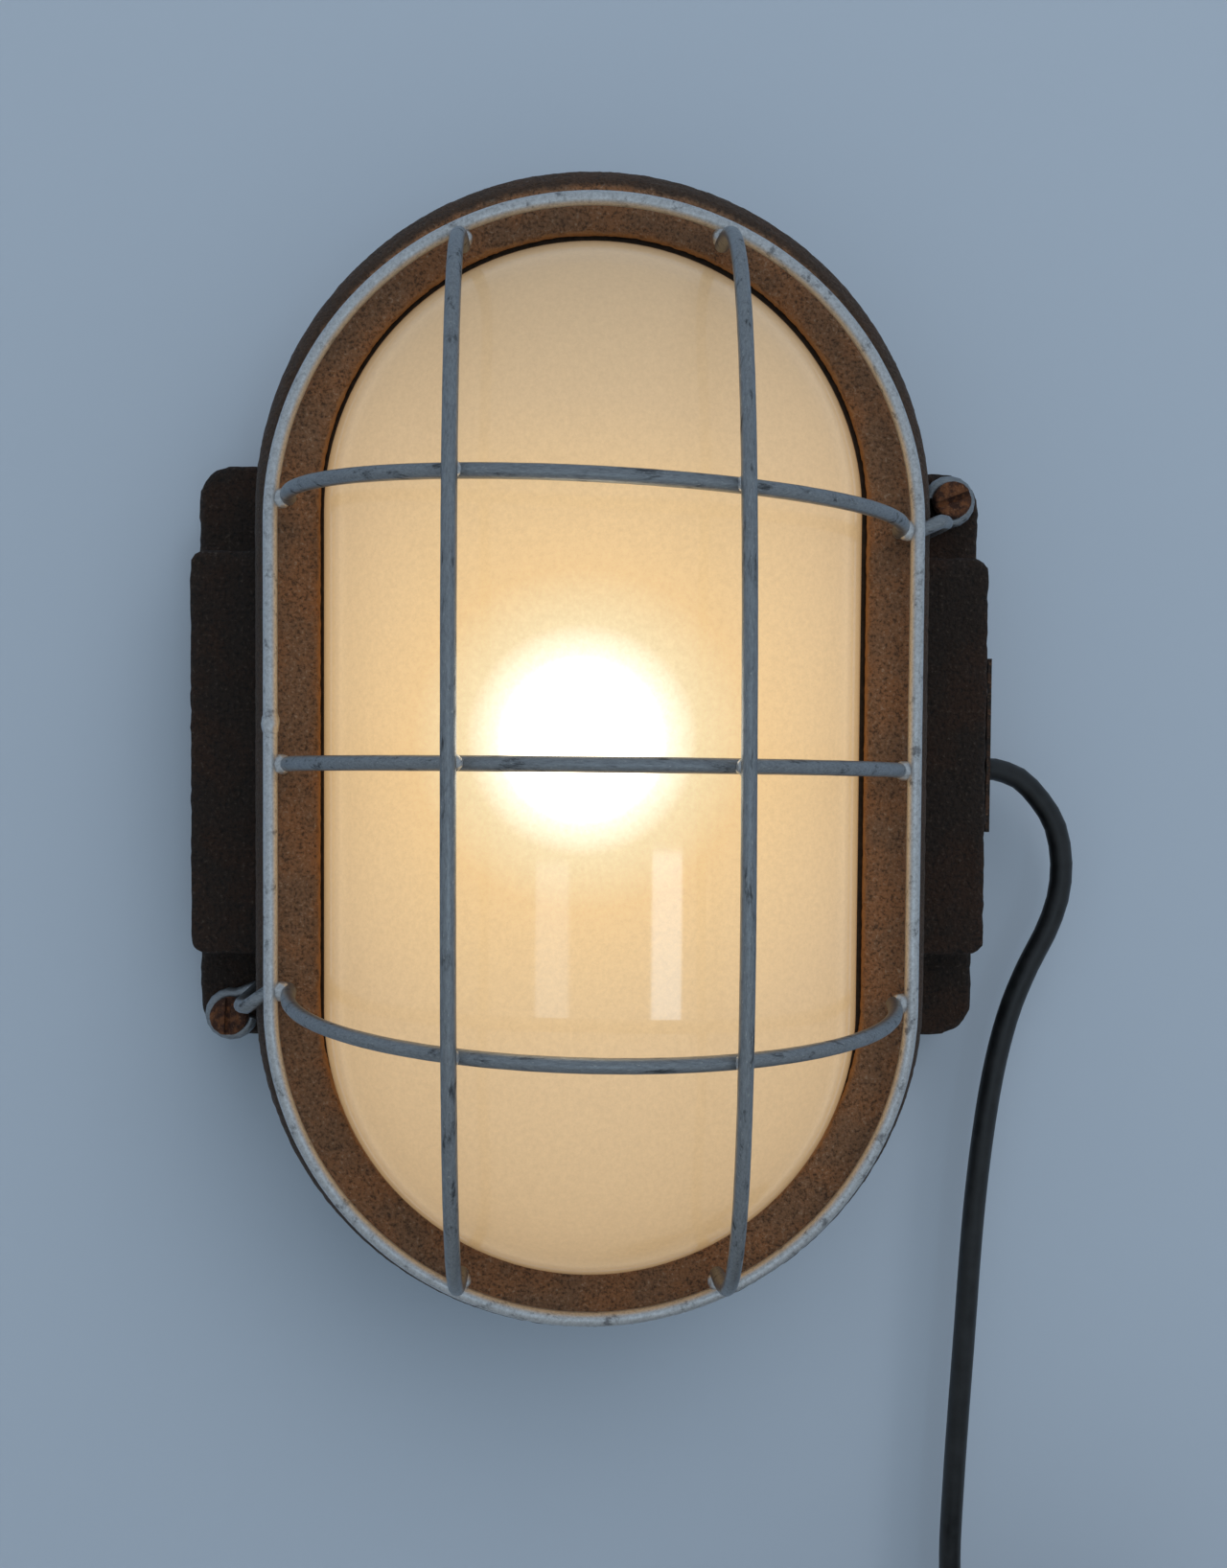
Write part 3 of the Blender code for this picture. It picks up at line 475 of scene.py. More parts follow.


# %% [markdown]
# ## The rusted lip, with painted light and shade on the ring
# Where the ring meets the glass, water sits and the lip rusts orange in a thin uneven line, made
# bright as well with painted glow from the dome beside it. It is a third coat over the ring's iron:
# a band at the lip's distance, broken up by noise. The ring's outer edge, which slopes away from the
# light, is darkened with painted shade, which is one more band.

# %% Rust and painted glow on the ring's lip, painted shade on its outer edge
LIP_RADIUS = 0.0643
RIM_RADIUS = (frame_high.x - frame_low.x) / 2
tree = ring_iron_glow_painted.node_tree
shader = tree.nodes["Principled BSDF"]
base_link = shader.inputs["Base Color"].links[0].from_socket
lip_place = place_of(tree)
uneven = noise(tree, lip_place, 260.0, 4.0)
reach = sum_of(
    tree,
    "MULTIPLY_ADD",
    sum_of(tree, "SUBTRACT", uneven, 0.5),
    0.0026,
    oval_distance(tree, lip_place),
)
# The lip band: orange rust, made bright as well with painted glow from the dome.
past_lip = between(tree, reach, LIP_RADIUS + 0.0003, LIP_RADIUS + 0.0011)
lip_rust_and_glow_mask = sum_of(tree, "SUBTRACT", 1.0, past_lip)
lip_rust_and_glow = blend(tree, sum_of(tree, "MULTIPLY", lip_rust_and_glow_mask, 0.9), base_link, (0.42, 0.20, 0.075))
# Painted shade: the ring's outer edge, which slopes away from the light, darkened almost to black.
outer_edge_shade_mask = between(tree, reach, RIM_RADIUS - 0.0060, RIM_RADIUS - 0.0042)
tree.links.new(
    blend(tree, sum_of(tree, "MULTIPLY", outer_edge_shade_mask, 0.85), lip_rust_and_glow, (0.030, 0.020, 0.014)),
    shader.inputs["Base Color"],
)

# %% [markdown]
# ## Galvanised wire
# The guard is dipped in zinc and has stood outside for years: dull blue-grey, darker in blotches,
# with pale scratches along the wire. The streaks run along each wire, so the pattern is stretched
# along X for the cross bars and along Z for the uprights; the ring runs both ways, so it has a
# little of each. The ring and the weld beads get a zinc about twice as pale as the bars': painted
# light for the dome's warm glow that the ring reflects, while the bars' darker copy is painted shade
# from the dark room they face.

# %% Galvanised wire
def guard_wire(name, stretch, zinc, deep):
    """Old zinc on wire: fine streaks along it, dark blotches and pale scratches."""
    made, tree, shader = new_material(name, zinc, 0.42, 0.85)
    place = place_of(tree, stretch=stretch)
    streaks = noise(tree, place, 2200.0, 6.0, 0.75)
    blotches = noise(tree, place, 420.0, 6.0, 0.7)
    scratches = noise(tree, place, 3600.0, 2.0)
    darker = tuple(c * 0.72 for c in zinc)
    paler = tuple(min(1.0, c * 1.22) for c in zinc)
    colour = ramp(tree, streaks, [(0.32, darker), (0.50, zinc), (0.68, paler)])
    dark = between(tree, blotches, 0.55, 0.68)
    colour = blend(tree, sum_of(tree, "MULTIPLY", dark, 0.75), colour, deep)
    pale = between(tree, scratches, 0.66, 0.74)
    colour = blend(tree, sum_of(tree, "MULTIPLY", pale, 0.5), colour, (0.70, 0.69, 0.66))
    tree.links.new(colour, shader.inputs["Base Color"])
    rough_link(tree, shader, blotches, 0.3, 0.7, 0.30, 0.55)
    bump(tree, shader, streaks, 0.00012, 0.5)
    return made


BAR_ZINC = (0.29, 0.31, 0.33)
BAR_DEEP = (0.024, 0.025, 0.028)
cross_wire = guard_wire("galvanised wire, cross bars", (0.2, 1, 1), BAR_ZINC, BAR_DEEP)
upright_wire = guard_wire("galvanised wire, uprights", (1, 1, 0.2), BAR_ZINC, BAR_DEEP)
# Painted light: the ring and the weld beads get a zinc twice as pale as the bars', for the dome's glow
# that the ring reflects.
ring_wire_glow_painted = guard_wire("galvanised wire, ring, paler for painted glow", (0.6, 1, 0.6), (0.62, 0.63, 0.64), (0.16, 0.16, 0.17))

# %% [markdown]
# ## Rusty screws
# The two guard screws have rusted through and through: orange-brown with darker scale. The grain
# group gives finer grains here than on the casting.

# %% Rusty steel
def rusty_steel(name, deep, orange, amount):
    """Rust in patches of orange over deep brown; amount says how far the patches take over."""
    made, tree, shader = new_material(name, orange, 0.82)
    place = place_of(tree)
    grain = use_grain(tree, place, 0.00055, 0.0026)
    colour = blend(tree, sum_of(tree, "MULTIPLY", grain["Patches"], amount), deep, orange)
    colour = blend(tree, sum_of(tree, "MULTIPLY", grain["Specks"], 0.5), colour, (0.36, 0.19, 0.10))
    tree.links.new(colour, shader.inputs["Base Color"])
    bump(tree, shader, grain["Height"], 0.0006, 0.8)
    return made


rusty_screw = rusty_steel("rusty screw", (0.050, 0.018, 0.009), (0.21, 0.078, 0.028), 0.9)
rusty_plate = rusty_steel("rusty plate", (0.020, 0.015, 0.012), (0.085, 0.040, 0.022), 0.7)

# %% [markdown]
# ## The lit glass dome
# The dome is pressed glass, frosted inside and glossy outside, with the lamp burning behind it. A
# frosted wall hides the lamp and glows by itself: white in front of the filament, then yellow,
# then tan towards the rim. That glow is painted as emission, from the distance to the lamp across
# the dome; a second ramp paints shade over the last centimetres by the rim, with a painted pale
# highlight line along the shoulder, and a third paints the top of the dome darker and bluer as
# shade. The smooth outer face is a clear coat over it, which reflects the windows.

# %% Glass
GLOW_REACH = 0.125
DOME_RADIUS = 0.0627
DOME_SHIFT = (-0.0004, -0.0013)
lamp_low, lamp_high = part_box("bulb_globe")
globe_radius = (lamp_high.x - lamp_low.x) / 2
lamp_centre = Vector(
    ((lamp_low.x + lamp_high.x) / 2, lamp_low.y + globe_radius, lamp_high.z - globe_radius)
)
FILAMENT = lamp_centre + Vector((-0.0034, 0, 0.0014))

dome_glass, tree, shader = new_material(
    "frosted lit glass",
    (0.24, 0.200, 0.150),
    0.42,
    Coat_Weight=1.0,
    Coat_Roughness=0.05,
    Emission_Strength=4.0,
)
place = place_of(tree, centre=(DOME_SHIFT[0], 0, DOME_SHIFT[1]))
across = place_of(tree, centre=(FILAMENT.x, 0, FILAMENT.z), stretch=(1, 0, 1))
spread = add(tree, "ShaderNodeVectorMath", {0: across}, operation="LENGTH").outputs["Value"]
glow = ramp(
    tree,
    sum_of(tree, "DIVIDE", spread, GLOW_REACH),
    [
        (0.000, (1.000, 0.900, 0.720)),
        (0.110, (0.800, 0.710, 0.560)),
        (0.150, (0.330, 0.295, 0.225)),
        (0.205, (0.232, 0.180, 0.096)),
        (0.300, (0.214, 0.138, 0.057)),
        (0.420, (0.188, 0.124, 0.055)),
        (0.600, (0.157, 0.105, 0.051)),
        (0.840, (0.138, 0.091, 0.043)),
        (1.000, (0.120, 0.078, 0.036)),
    ],
)
# Painted shade: the glow dims towards the rim, with a painted pale highlight line along the shoulder.
edge_shade_and_highlight = ramp(
    tree,
    sum_of(tree, "DIVIDE", oval_distance(tree, place), DOME_RADIUS),
    [
        (0.55, (1.00, 1.00, 1.00)),
        (0.76, (0.97, 0.96, 0.95)),
        (0.88, (0.92, 0.90, 0.86)),
        (0.912, (0.98, 0.97, 0.94)),
        (0.925, (0.87, 0.83, 0.75)),
        (0.985, (0.80, 0.74, 0.64)),
    ],
)
height = add(tree, "ShaderNodeSeparateXYZ", {"Vector": place}).outputs["Z"]
# Painted shade: the top of the dome darker and bluer.
top_shade = blend(tree, between(tree, height, 0.045, 0.125), (1.0, 1.0, 1.0), (0.64, 0.67, 0.72))
frosting = noise(tree, place, 900.0, 4.0, 0.8)
sparkle = ramp(tree, frosting, [(0.34, (0.86, 0.85, 0.83)), (0.66, (1.0, 1.0, 1.0))])
for tint in (edge_shade_and_highlight, top_shade, sparkle):
    glow = blend(tree, 1.0, glow, tint, "MULTIPLY")
tree.links.new(glow, shader.inputs["Emission Color"])
bump(tree, shader, frosting, 0.00002, 0.25)

# %% [markdown]
# ## The lamp inside
# The lamp's own glass glows too, which shows once the cover is off. It isn't used as a light
# source for the picture, because the dome around it is opaque.

# %% Lamp glass
LAMP_REACH = 0.034
lamp_glass, tree, shader = new_material(
    "lamp glass, lit", (0.86, 0.82, 0.74), 0.3, Emission_Strength=2.2, Coat_Weight=0.6
)
glow_across = place_of(tree, centre=tuple(lamp_centre), stretch=(1, 0, 1))
glow_reach = add(tree, "ShaderNodeVectorMath", {0: glow_across}, operation="LENGTH").outputs["Value"]
tree.links.new(
    ramp(
        tree,
        sum_of(tree, "DIVIDE", glow_reach, LAMP_REACH),
        [(0.0, (1.0, 0.92, 0.74)), (0.5, (0.75, 0.60, 0.38)), (1.0, (0.42, 0.28, 0.13))],
    ),
    shader.inputs["Emission Color"],
)
lamp_glass.cycles.emission_sampling = "NONE"

# %% [markdown]
# ## Rubber, plastic, brass and porcelain
# The remaining finishes are quiet ones: each is a colour that a little noise varies, and a
# roughness that follows the same noise, as handled rubber, moulded plastic and old brass do.

# %% Quiet finishes
def quiet_finish(name, colour, roughness, metallic=0.0, grain=0.0008, mottle=0.25, relief=0.00008):
    """A nearly even finish, mottled by noise of the given grain."""
    made, tree, shader = new_material(name, colour, roughness, metallic)
    place = place_of(tree)
    cloud = noise(tree, place, 1 / grain, 4.0)
    darker = tuple(c * (1 - mottle) for c in colour)
    paler = tuple(min(1.0, c * (1 + mottle) + 0.01) for c in colour)
    mottled = ramp(tree, cloud, [(0.3, darker), (0.7, paler)])
    tree.links.new(mottled, shader.inputs["Base Color"])
    rough_link(tree, shader, cloud, 0.3, 0.7, roughness - 0.08, roughness + 0.08)
    bump(tree, shader, cloud, relief, 0.5)
    return made


jacket = quiet_finish("cable jacket", (0.006, 0.007, 0.008), 0.42, grain=0.004)
rubber = quiet_finish("black rubber", (0.012, 0.011, 0.010), 0.7)
packing = quiet_finish("packing", (0.016, 0.010, 0.007), 0.85, grain=0.0012, mottle=0.6, relief=0.0006)
plug_plastic = quiet_finish("plug plastic", (0.010, 0.010, 0.011), 0.36, grain=0.0006)
tie_plastic = quiet_finish("tie plastic", (0.020, 0.020, 0.021), 0.45)
plated = quiet_finish("plated steel", (0.50, 0.50, 0.47), 0.38, 1.0, grain=0.003)
brass = quiet_finish("brass", (0.62, 0.42, 0.16), 0.36, 1.0, grain=0.003)
porcelain = quiet_finish("porcelain", (0.80, 0.77, 0.69), 0.18, grain=0.005, mottle=0.05, relief=0.00003)
tungsten = quiet_finish("tungsten", (0.20, 0.19, 0.18), 0.4, 1.0)
brown_core = quiet_finish("brown core", (0.105, 0.040, 0.014), 0.45)
blue_core = quiet_finish("blue core", (0.012, 0.070, 0.260), 0.45)
green_core = quiet_finish("green core", (0.045, 0.190, 0.018), 0.45)
sleeve = quiet_finish("braided sleeve", (0.66, 0.62, 0.52), 0.85, grain=0.0004, relief=0.0002)

# %% [markdown]
# ## Finishes on the plain frame
# The pieces inside the bowl keep the frame's own shapes, since they are seen only with the cover
# lifted. Each takes the finish that its name calls for.

# %% Give the frame its finishes
FINISHES = {
    "entry_plate": rusty_plate,
    "entry_plate_screw": rusty_screw,
    "cable_grommet": rubber,
    "cord_inner_end": jacket,
    "cord_clamp": plated,
    "terminal_block": porcelain,
    "terminal_insert": brass,
    "terminal_screw": brass,
    "terminal_block_screw": plated,
    "mains_live_wire": brown_core,
    "mains_neutral_wire": blue_core,
    "mains_earth_wire": green_core,
    "earth": brass,
    "lamp_live_wire": sleeve,
    "lamp_neutral_wire": sleeve,
    "lampholder_bracket": plated,
    "bracket_screw": plated,
    "lampholder_body": porcelain,
    "lampholder_sleeve": brass,
    "lampholder_contact": brass,
    "lampholder_screw": plated,
    "cord_tie": tie_plastic,
    "plug_body": plug_plastic,
    "plug_pin": plated,
    "bulb_globe": lamp_glass,
    "bulb_stem": lamp_glass,
    "bulb_filament": tungsten,
    "bulb_cap": brass,
    "bulb_insulator": rubber,
    "bulb_contact": plated,
}


def finish_piece(piece, finish):
    """The only material of a piece."""
    piece.data.materials.clear()
    piece.data.materials.append(finish)


finished = 0
for name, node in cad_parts.items():
    fitting = [key for key in FINISHES if name.startswith(key)]
    if fitting:
        finish_piece(node, FINISHES[max(fitting, key=len)])
        finished += 1
print("frame pieces finished", finished)
finish_piece(lead, jacket)

# %% [markdown]
# ## Sweeping an outline round an oval
# The bowl, the ring and the dome are one outline carried round an oval: straight up one side,
# round the top, down the other side and round the bottom. By hand that is an extrude, a spin of
# half a turn, and the same again. The outline is drawn by extruding one corner after another, in
# distance from the oval's spine and in Y.

# %% Drawing and sweeping
def edit(piece):
    """Opens one piece for editing, with nothing else selected."""
    select_only(piece)
    bpy.ops.object.mode_set(mode="EDIT")
    bpy.ops.mesh.select_mode(type="VERT")


def finish_edit(merge=0.00001):
    """Merges doubles, turns the faces outwards and leaves edit mode."""
    bpy.ops.mesh.select_all(action="SELECT")
    bpy.ops.mesh.remove_doubles(threshold=merge)
    bpy.ops.mesh.normals_make_consistent(inside=False)
    bpy.ops.object.mode_set(mode="OBJECT")


def draw_outline(name, points, closed=True):
    """A line through the points, drawn in edit mode, which stays open with the line selected."""
    bpy.ops.object.select_all(action="DESELECT")
    bpy.ops.mesh.primitive_plane_add(size=0.001)
    made = bpy.context.object
    made.name = name
    edit(made)
    bpy.ops.mesh.select_all(action="SELECT")
    bpy.ops.mesh.merge(type="CENTER")
    bpy.ops.transform.translate(value=points[0])
    for a, b in zip(points, points[1:]):
        bpy.ops.mesh.extrude_vertices_move(TRANSFORM_OT_translate={"value": Vector(b) - Vector(a)})
    if closed:
        bpy.ops.mesh.extrude_vertices_move(
            TRANSFORM_OT_translate={"value": Vector(points[0]) - Vector(points[-1])}
        )
    bpy.ops.mesh.select_all(action="SELECT")
    bpy.ops.mesh.remove_doubles(threshold=0.000001)
    return made


def sweep_oval(name, outline, closed=True, rows=24, steps=40, half=HALF, lift=0.0):
    """The outline carried round an oval whose half circles stand 2 * half apart."""
    made = draw_outline(name, [(r, y, lift - half) for r, y in outline], closed)
    for side in (1, -1):
        for _ in range(rows):
            bpy.ops.mesh.extrude_region_move(
                TRANSFORM_OT_translate={"value": (0, 0, side * 2 * half / rows)}
            )
        centre = (0, 0, lift + side * half)
        bpy.ops.mesh.spin(steps=steps, angle=math.pi, center=centre, axis=(0, 1, 0))
    finish_edit()
    return made


def apply(piece, kind, **settings):
    """Adds one modifier to a piece and applies it."""
    select_only(piece)
    modifier = piece.modifiers.new(kind.lower(), kind)
    for name, value in settings.items():
        setattr(modifier, name, value)
    bpy.ops.object.modifier_apply(modifier=modifier.name)


def smooth(piece, angle=60):
    """Smooth shading, apart from edges sharper than the angle in degrees."""
    select_only(piece)
    bpy.ops.object.shade_smooth_by_angle(angle=math.radians(angle))


def dent(piece, size, depth, detail=2):
    """Dents the surface inwards by noise of the given size, never outwards."""
    clouds = bpy.data.textures.new(piece.name + " dents", "CLOUDS")
    clouds.noise_scale = size
    clouds.noise_depth = detail
    apply(piece, "DISPLACE", texture=clouds, texture_coords="LOCAL", strength=depth, mid_level=1.0)


def show(piece, body, finish, slot_name, *stands_for):
    """Gives a finished piece its material, its body and the nodes it stands for; slot_name is not used.
    """
    finish_piece(piece, finish)
    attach(piece, body)
    if stands_for:
        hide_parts(*stands_for)
    count = sum(len(p.vertices) - 2 for p in piece.data.polygons)
    print(piece.name, count, "triangles")


# %% [markdown]
# ## The front ring
# A flat cast ring, rounded at its outer edge, with a lip that holds the glass. The sweep is filled
# with even small squares by a voxel remesh, so that dents the size of the sand's grains can move
# the surface in and break up its edges, as on the real casting.

# %% Front ring
frame_radius = frame_high.x
ring_back = frame_high.y
ring_face = frame_low.y
ring_outline = [
    (frame_radius, ring_back),
    (frame_radius, ring_back - 0.0030),
    (frame_radius - 0.0010, ring_back - 0.0060),
    (frame_radius - 0.0032, ring_face + 0.0008),
    (frame_radius - 0.0060, ring_face),
    (LIP_RADIUS + 0.0012, ring_face),
    (LIP_RADIUS, ring_face + 0.0010),
    (LIP_RADIUS, ring_face + 0.0032),
    (LIP_RADIUS + 0.0066, ring_face + 0.0032),
    (LIP_RADIUS + 0.0066, ring_back),
]
front_ring = sweep_oval("front_ring", ring_outline, rows=16, steps=48)
apply(front_ring, "REMESH", mode="VOXEL", voxel_size=0.0009)
apply(front_ring, "SMOOTH", factor=0.5, iterations=2)
dent(front_ring, 0.0020, 0.00040)
smooth(front_ring)
show(front_ring, "cover", ring_iron_glow_painted, "cast_iron", "front_frame")

# %% [markdown]
# ## The bowl and its ears
# The bowl behind the ring is an oval tub with a flange. On each side a slab with two round lobes
# lies against the wall, and a taller block stands on it for the cable entry and the fixing. Each
# part is a solid of its own first; booleans join them and cut the hollow, the cores behind the
# ears and the holes, and then the same remesh and dents make one casting of them.

# %% Bowl and ears
bowl_low, bowl_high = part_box("housing")
EAR_REACH = bowl_high.x
FLANGE_FACE = bowl_low.y
BOWL_RADIUS = 0.0668
FLOOR_FACE = -0.0055
upper_low, upper_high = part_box("upper_screw")
lower_low, lower_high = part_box("lower_screw")
UPPER_SCREW = (upper_low + upper_high) / 2
LOWER_SCREW = (lower_low + lower_high) / 2


def bevel_front(piece, width):
    """Rounds the rim of the face that looks to the front."""
    edit(piece)
    bpy.ops.mesh.select_mode(type="FACE")
    bpy.ops.mesh.select_all(action="DESELECT")
    bpy.ops.object.mode_set(mode="OBJECT")
    for face in piece.data.polygons:
        face.select = face.normal.y < -0.9
    bpy.ops.object.mode_set(mode="EDIT")
    bpy.ops.mesh.region_to_loop()
    bpy.ops.mesh.bevel(offset=width, segments=3, affect="EDGES")
    bpy.ops.object.mode_set(mode="OBJECT")


def block(name, low, high, corner=0.0, front_edge=0.0):
    """A box between two corners with rounded corners seen from the front."""
    low, high = Vector(low), Vector(high)
    bpy.ops.object.select_all(action="DESELECT")
    bpy.ops.mesh.primitive_cube_add(size=1)
    made = bpy.context.object
    made.name = name
    made.scale = high - low
    made.location = (low + high) / 2
    bpy.ops.object.transform_apply(location=True, rotation=False, scale=True)
    if corner:
        edit(made)
        bpy.ops.mesh.select_mode(type="EDGE")
        bpy.ops.mesh.select_all(action="DESELECT")
        bpy.ops.object.mode_set(mode="OBJECT")
        for edge in made.data.edges:
            a, b = (made.data.vertices[i].co for i in edge.vertices)
            edge.select = abs(a.y - b.y) > 0.0001
        bpy.ops.object.mode_set(mode="EDIT")
        bpy.ops.mesh.bevel(offset=corner, segments=8, affect="EDGES")
        bpy.ops.object.mode_set(mode="OBJECT")
    if front_edge:
        bevel_front(made, front_edge)
    return made


def drill(name, centre, radius, start, end, axis="Y"):
    """A round bar to cut a hole with, along Y or X."""
    bpy.ops.object.select_all(action="DESELECT")
    turned = (math.pi / 2, 0, 0) if axis == "Y" else (0, math.pi / 2, 0)
    middle = (start + end) / 2
    place = (centre[0], middle, centre[1]) if axis == "Y" else (middle, centre[0], centre[1])
    bpy.ops.mesh.primitive_cylinder_add(
        vertices=40, radius=radius, depth=abs(end - start), location=place, rotation=turned
    )
    made = bpy.context.object
    made.name = name
    bpy.ops.object.transform_apply(location=True, rotation=True, scale=True)
    return made


def join_solids(piece, tools, kind):
    """Joins or cuts the tools into the piece, one after another."""
    for tool in tools:
        apply(piece, "BOOLEAN", operation=kind, object=tool, solver="EXACT")
        bpy.data.objects.remove(tool)


bowl_outline = [
    (0, 0),
    (0.0665, 0),
    (0.0715, -0.004),
    (0.0725, -0.0445),
    (frame_radius - 0.0008, -0.0460),
    (frame_radius - 0.0008, FLANGE_FACE),
    (0, FLANGE_FACE),
]
bowl = sweep_oval("bowl", bowl_outline, closed=False, rows=4, steps=48)
wall_side = bowl_high.y - 0.001
join_solids(
    bowl,
    [
        block("lobes", (-EAR_REACH, -0.028, -0.073), (EAR_REACH, wall_side, 0.073), 0.009, 0.0015),
        block("blocks", (-EAR_REACH, -0.040, -0.0505), (EAR_REACH, wall_side, 0.0505), 0.004, 0.0015),
    ],
    "UNION",
)
hollow_outline = [
    (0, FLOOR_FACE),
    (BOWL_RADIUS - 0.002, FLOOR_FACE),
    (BOWL_RADIUS, FLOOR_FACE - 0.003),
    (BOWL_RADIUS, FLANGE_FACE - 0.004),
    (0, FLANGE_FACE - 0.004),
]
join_solids(
    bowl,
    [
        sweep_oval("bowl_hollow", hollow_outline, closed=False, rows=4, steps=48),
        block("core left", (-0.0945, -0.034, -0.044), (-0.0745, 0.002, 0.044), 0.003),
        block("core right", (0.0745, -0.034, -0.044), (0.0945, 0.002, 0.044), 0.003),
        drill("wall hole 1", (-0.035, 0.088), 0.003, -0.012, 0.004),
        drill("wall hole 2", (0.035, -0.088), 0.003, -0.012, 0.004),
        drill("cable entry", (-0.020, -0.0035), 0.0066, 0.060, 0.106, "X"),
        drill("upper thread", (UPPER_SCREW.x, UPPER_SCREW.z), 0.0033, -0.034, -0.010),
        drill("lower thread", (LOWER_SCREW.x, LOWER_SCREW.z), 0.0033, -0.034, -0.010),
    ],
    "DIFFERENCE",
)
apply(bowl, "REMESH", mode="VOXEL", voxel_size=0.0014)
apply(bowl, "SMOOTH", factor=0.5, iterations=2)
dent(bowl, 0.0036, 0.00085)
smooth(bowl)
show(bowl, "body", bowl_iron, "cast_iron", "housing")

# %% [markdown]
# ## The glass dome
# The dome stands out from the ring on a flange. Its outline is a flattened arch: a superellipse,
# steep at the rim and nearly flat over the middle. One closed outline, outside and inside, is swept
# round the oval without remeshing, because pressed glass is smooth and its reflections show every
# facet.

# %% Glass dome
dome_low, dome_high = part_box("glass")
DOME_WALL = 0.0035
dome_base = ring_face
dome_rise = dome_base - dome_low.y
FLANGE_RADIUS = dome_high.x - abs(DOME_SHIFT[1])


def arch(radius, rise, count=18):
    """Half of a flattened arch, from the axis to the rim, as (radius, height)."""
    for i in range(count + 1):
        angle = math.pi / 2 * i / count
        yield radius * math.sin(angle) ** (2 / 2.6), rise * max(math.cos(angle), 0) ** (2 / 2.6)


dome_outline = [(r, dome_base - h) for r, h in arch(DOME_RADIUS, dome_rise)]
dome_outline += [
    (DOME_RADIUS, dome_high.y - 0.0026),
    (FLANGE_RADIUS, dome_high.y - 0.0026),
    (FLANGE_RADIUS, dome_high.y),
    (DOME_RADIUS - DOME_WALL, dome_high.y),
]
dome_outline += [
    (r, dome_base - h) for r, h in arch(DOME_RADIUS - DOME_WALL, dome_rise - DOME_WALL)
][::-1]
dome = sweep_oval("glass_dome", dome_outline, closed=False, rows=20, steps=64, lift=DOME_SHIFT[1])
edit(dome)
bpy.ops.mesh.select_all(action="SELECT")
bpy.ops.transform.translate(value=(DOME_SHIFT[0], 0, 0))
bpy.ops.object.mode_set(mode="OBJECT")
smooth(dome, 50)
show(dome, "cover", dome_glass, "dome_glass", "glass")

# %% [markdown]
# ## The two seals
# A rough black packing lies in the groove between the ring and the glass, and another under the
# ring. Both are swept, remeshed finely and dented deeply, since old packing crumbles.

# %% Packing
def packing_ring(name, node, depth):
    """A crumbling packing of the same size as a seal of the frame."""
    low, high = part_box(node)
    thickness = {"glass_seal": 0.0070, "rim_seal": 0.0109}[node]
    inner = high.x - thickness
    outline = [(high.x, high.y), (high.x, low.y), (inner, low.y), (inner, high.y)]
    made = sweep_oval(name, outline, rows=12, steps=40)
    apply(made, "REMESH", mode="VOXEL", voxel_size=0.0007)
    dent(made, 0.0016, depth)
    smooth(made)
    return made


show(packing_ring("glass_packing", "glass_seal", 0.0007), "cover", packing, "black_rubber", "glass_seal")
show(packing_ring("rim_packing", "rim_seal", 0.0004), "body", packing, "black_rubber", "rim_seal")

# %% [markdown]
# ## The guard
# The cage is five bowed wires welded to an oval ring. Two uprights pass in front of three cross
# bars; the upper and the lower cross bar run on past the ring, bend back beside it and end in an
# eye under a screw. Each wire is a line through its own bow, made round, turned into a mesh and
# dented a little, because drawn wire that was bent by hand is never perfectly round.

# %% Guard ring
WIRE_RADIUS = 0.00175
RING_RADIUS = ring_high.x - WIRE_RADIUS
RING_HALF = (ring_high.z - ring_low.z) / 2 - ring_high.x
RING_Y = ring_centre.y
RING_Z = ring_centre.z

ring_section = [
    (
        RING_RADIUS + WIRE_RADIUS * math.cos(2 * math.pi * i / 16),
        RING_Y + WIRE_RADIUS * math.sin(2 * math.pi * i / 16),
    )
    for i in range(16)
]
guard_ring = sweep_oval("wire_ring", ring_section, rows=40, steps=90, half=RING_HALF, lift=RING_Z)
dent(guard_ring, 0.004, 0.00008)
smooth(guard_ring)
show(guard_ring, "guard", ring_wire_glow_painted, "guard_wire", "guard_ring")

# %% Bowed lines
BAR_END = 0.0707
STUB_Y = -0.0641
EYE_RADIUS = 0.0050
EYE_Y = -0.03005
LEG_X = 0.0833
UPPER_END = 0.0553
LOWER_END = -0.0529
CROSS_RISE = 0.0465
CROSS_STEPS = 40
UPRIGHT_RISE = 0.0478
UPRIGHT_STEPS = 56
EYE_POINTS = 14
EYE_START = -105
EYE_STEP = 21.3


def bow(count, power):
    """Steps along a flattened bow: the place from -1 to 1, and the height from 0 to 1."""
    for i in range(count + 1):
        angle = math.pi * i / count - math.pi / 2
        side = 1 if angle > 0 else -1
        yield side * abs(math.sin(angle)) ** (2 / power), max(math.cos(angle), 0) ** (2 / power)


def cross_line(left_z, bulge, right_z):
    """A cross bar's line from left to right; the bulge raises its middle."""
    line = []
    for place, height in bow(CROSS_STEPS, 2.0):
        z = (left_z + right_z) / 2 + (right_z - left_z) / 2 * place + bulge * height
        line.append((BAR_END * place, RING_Y - CROSS_RISE * height, RING_Z + z))
    return line


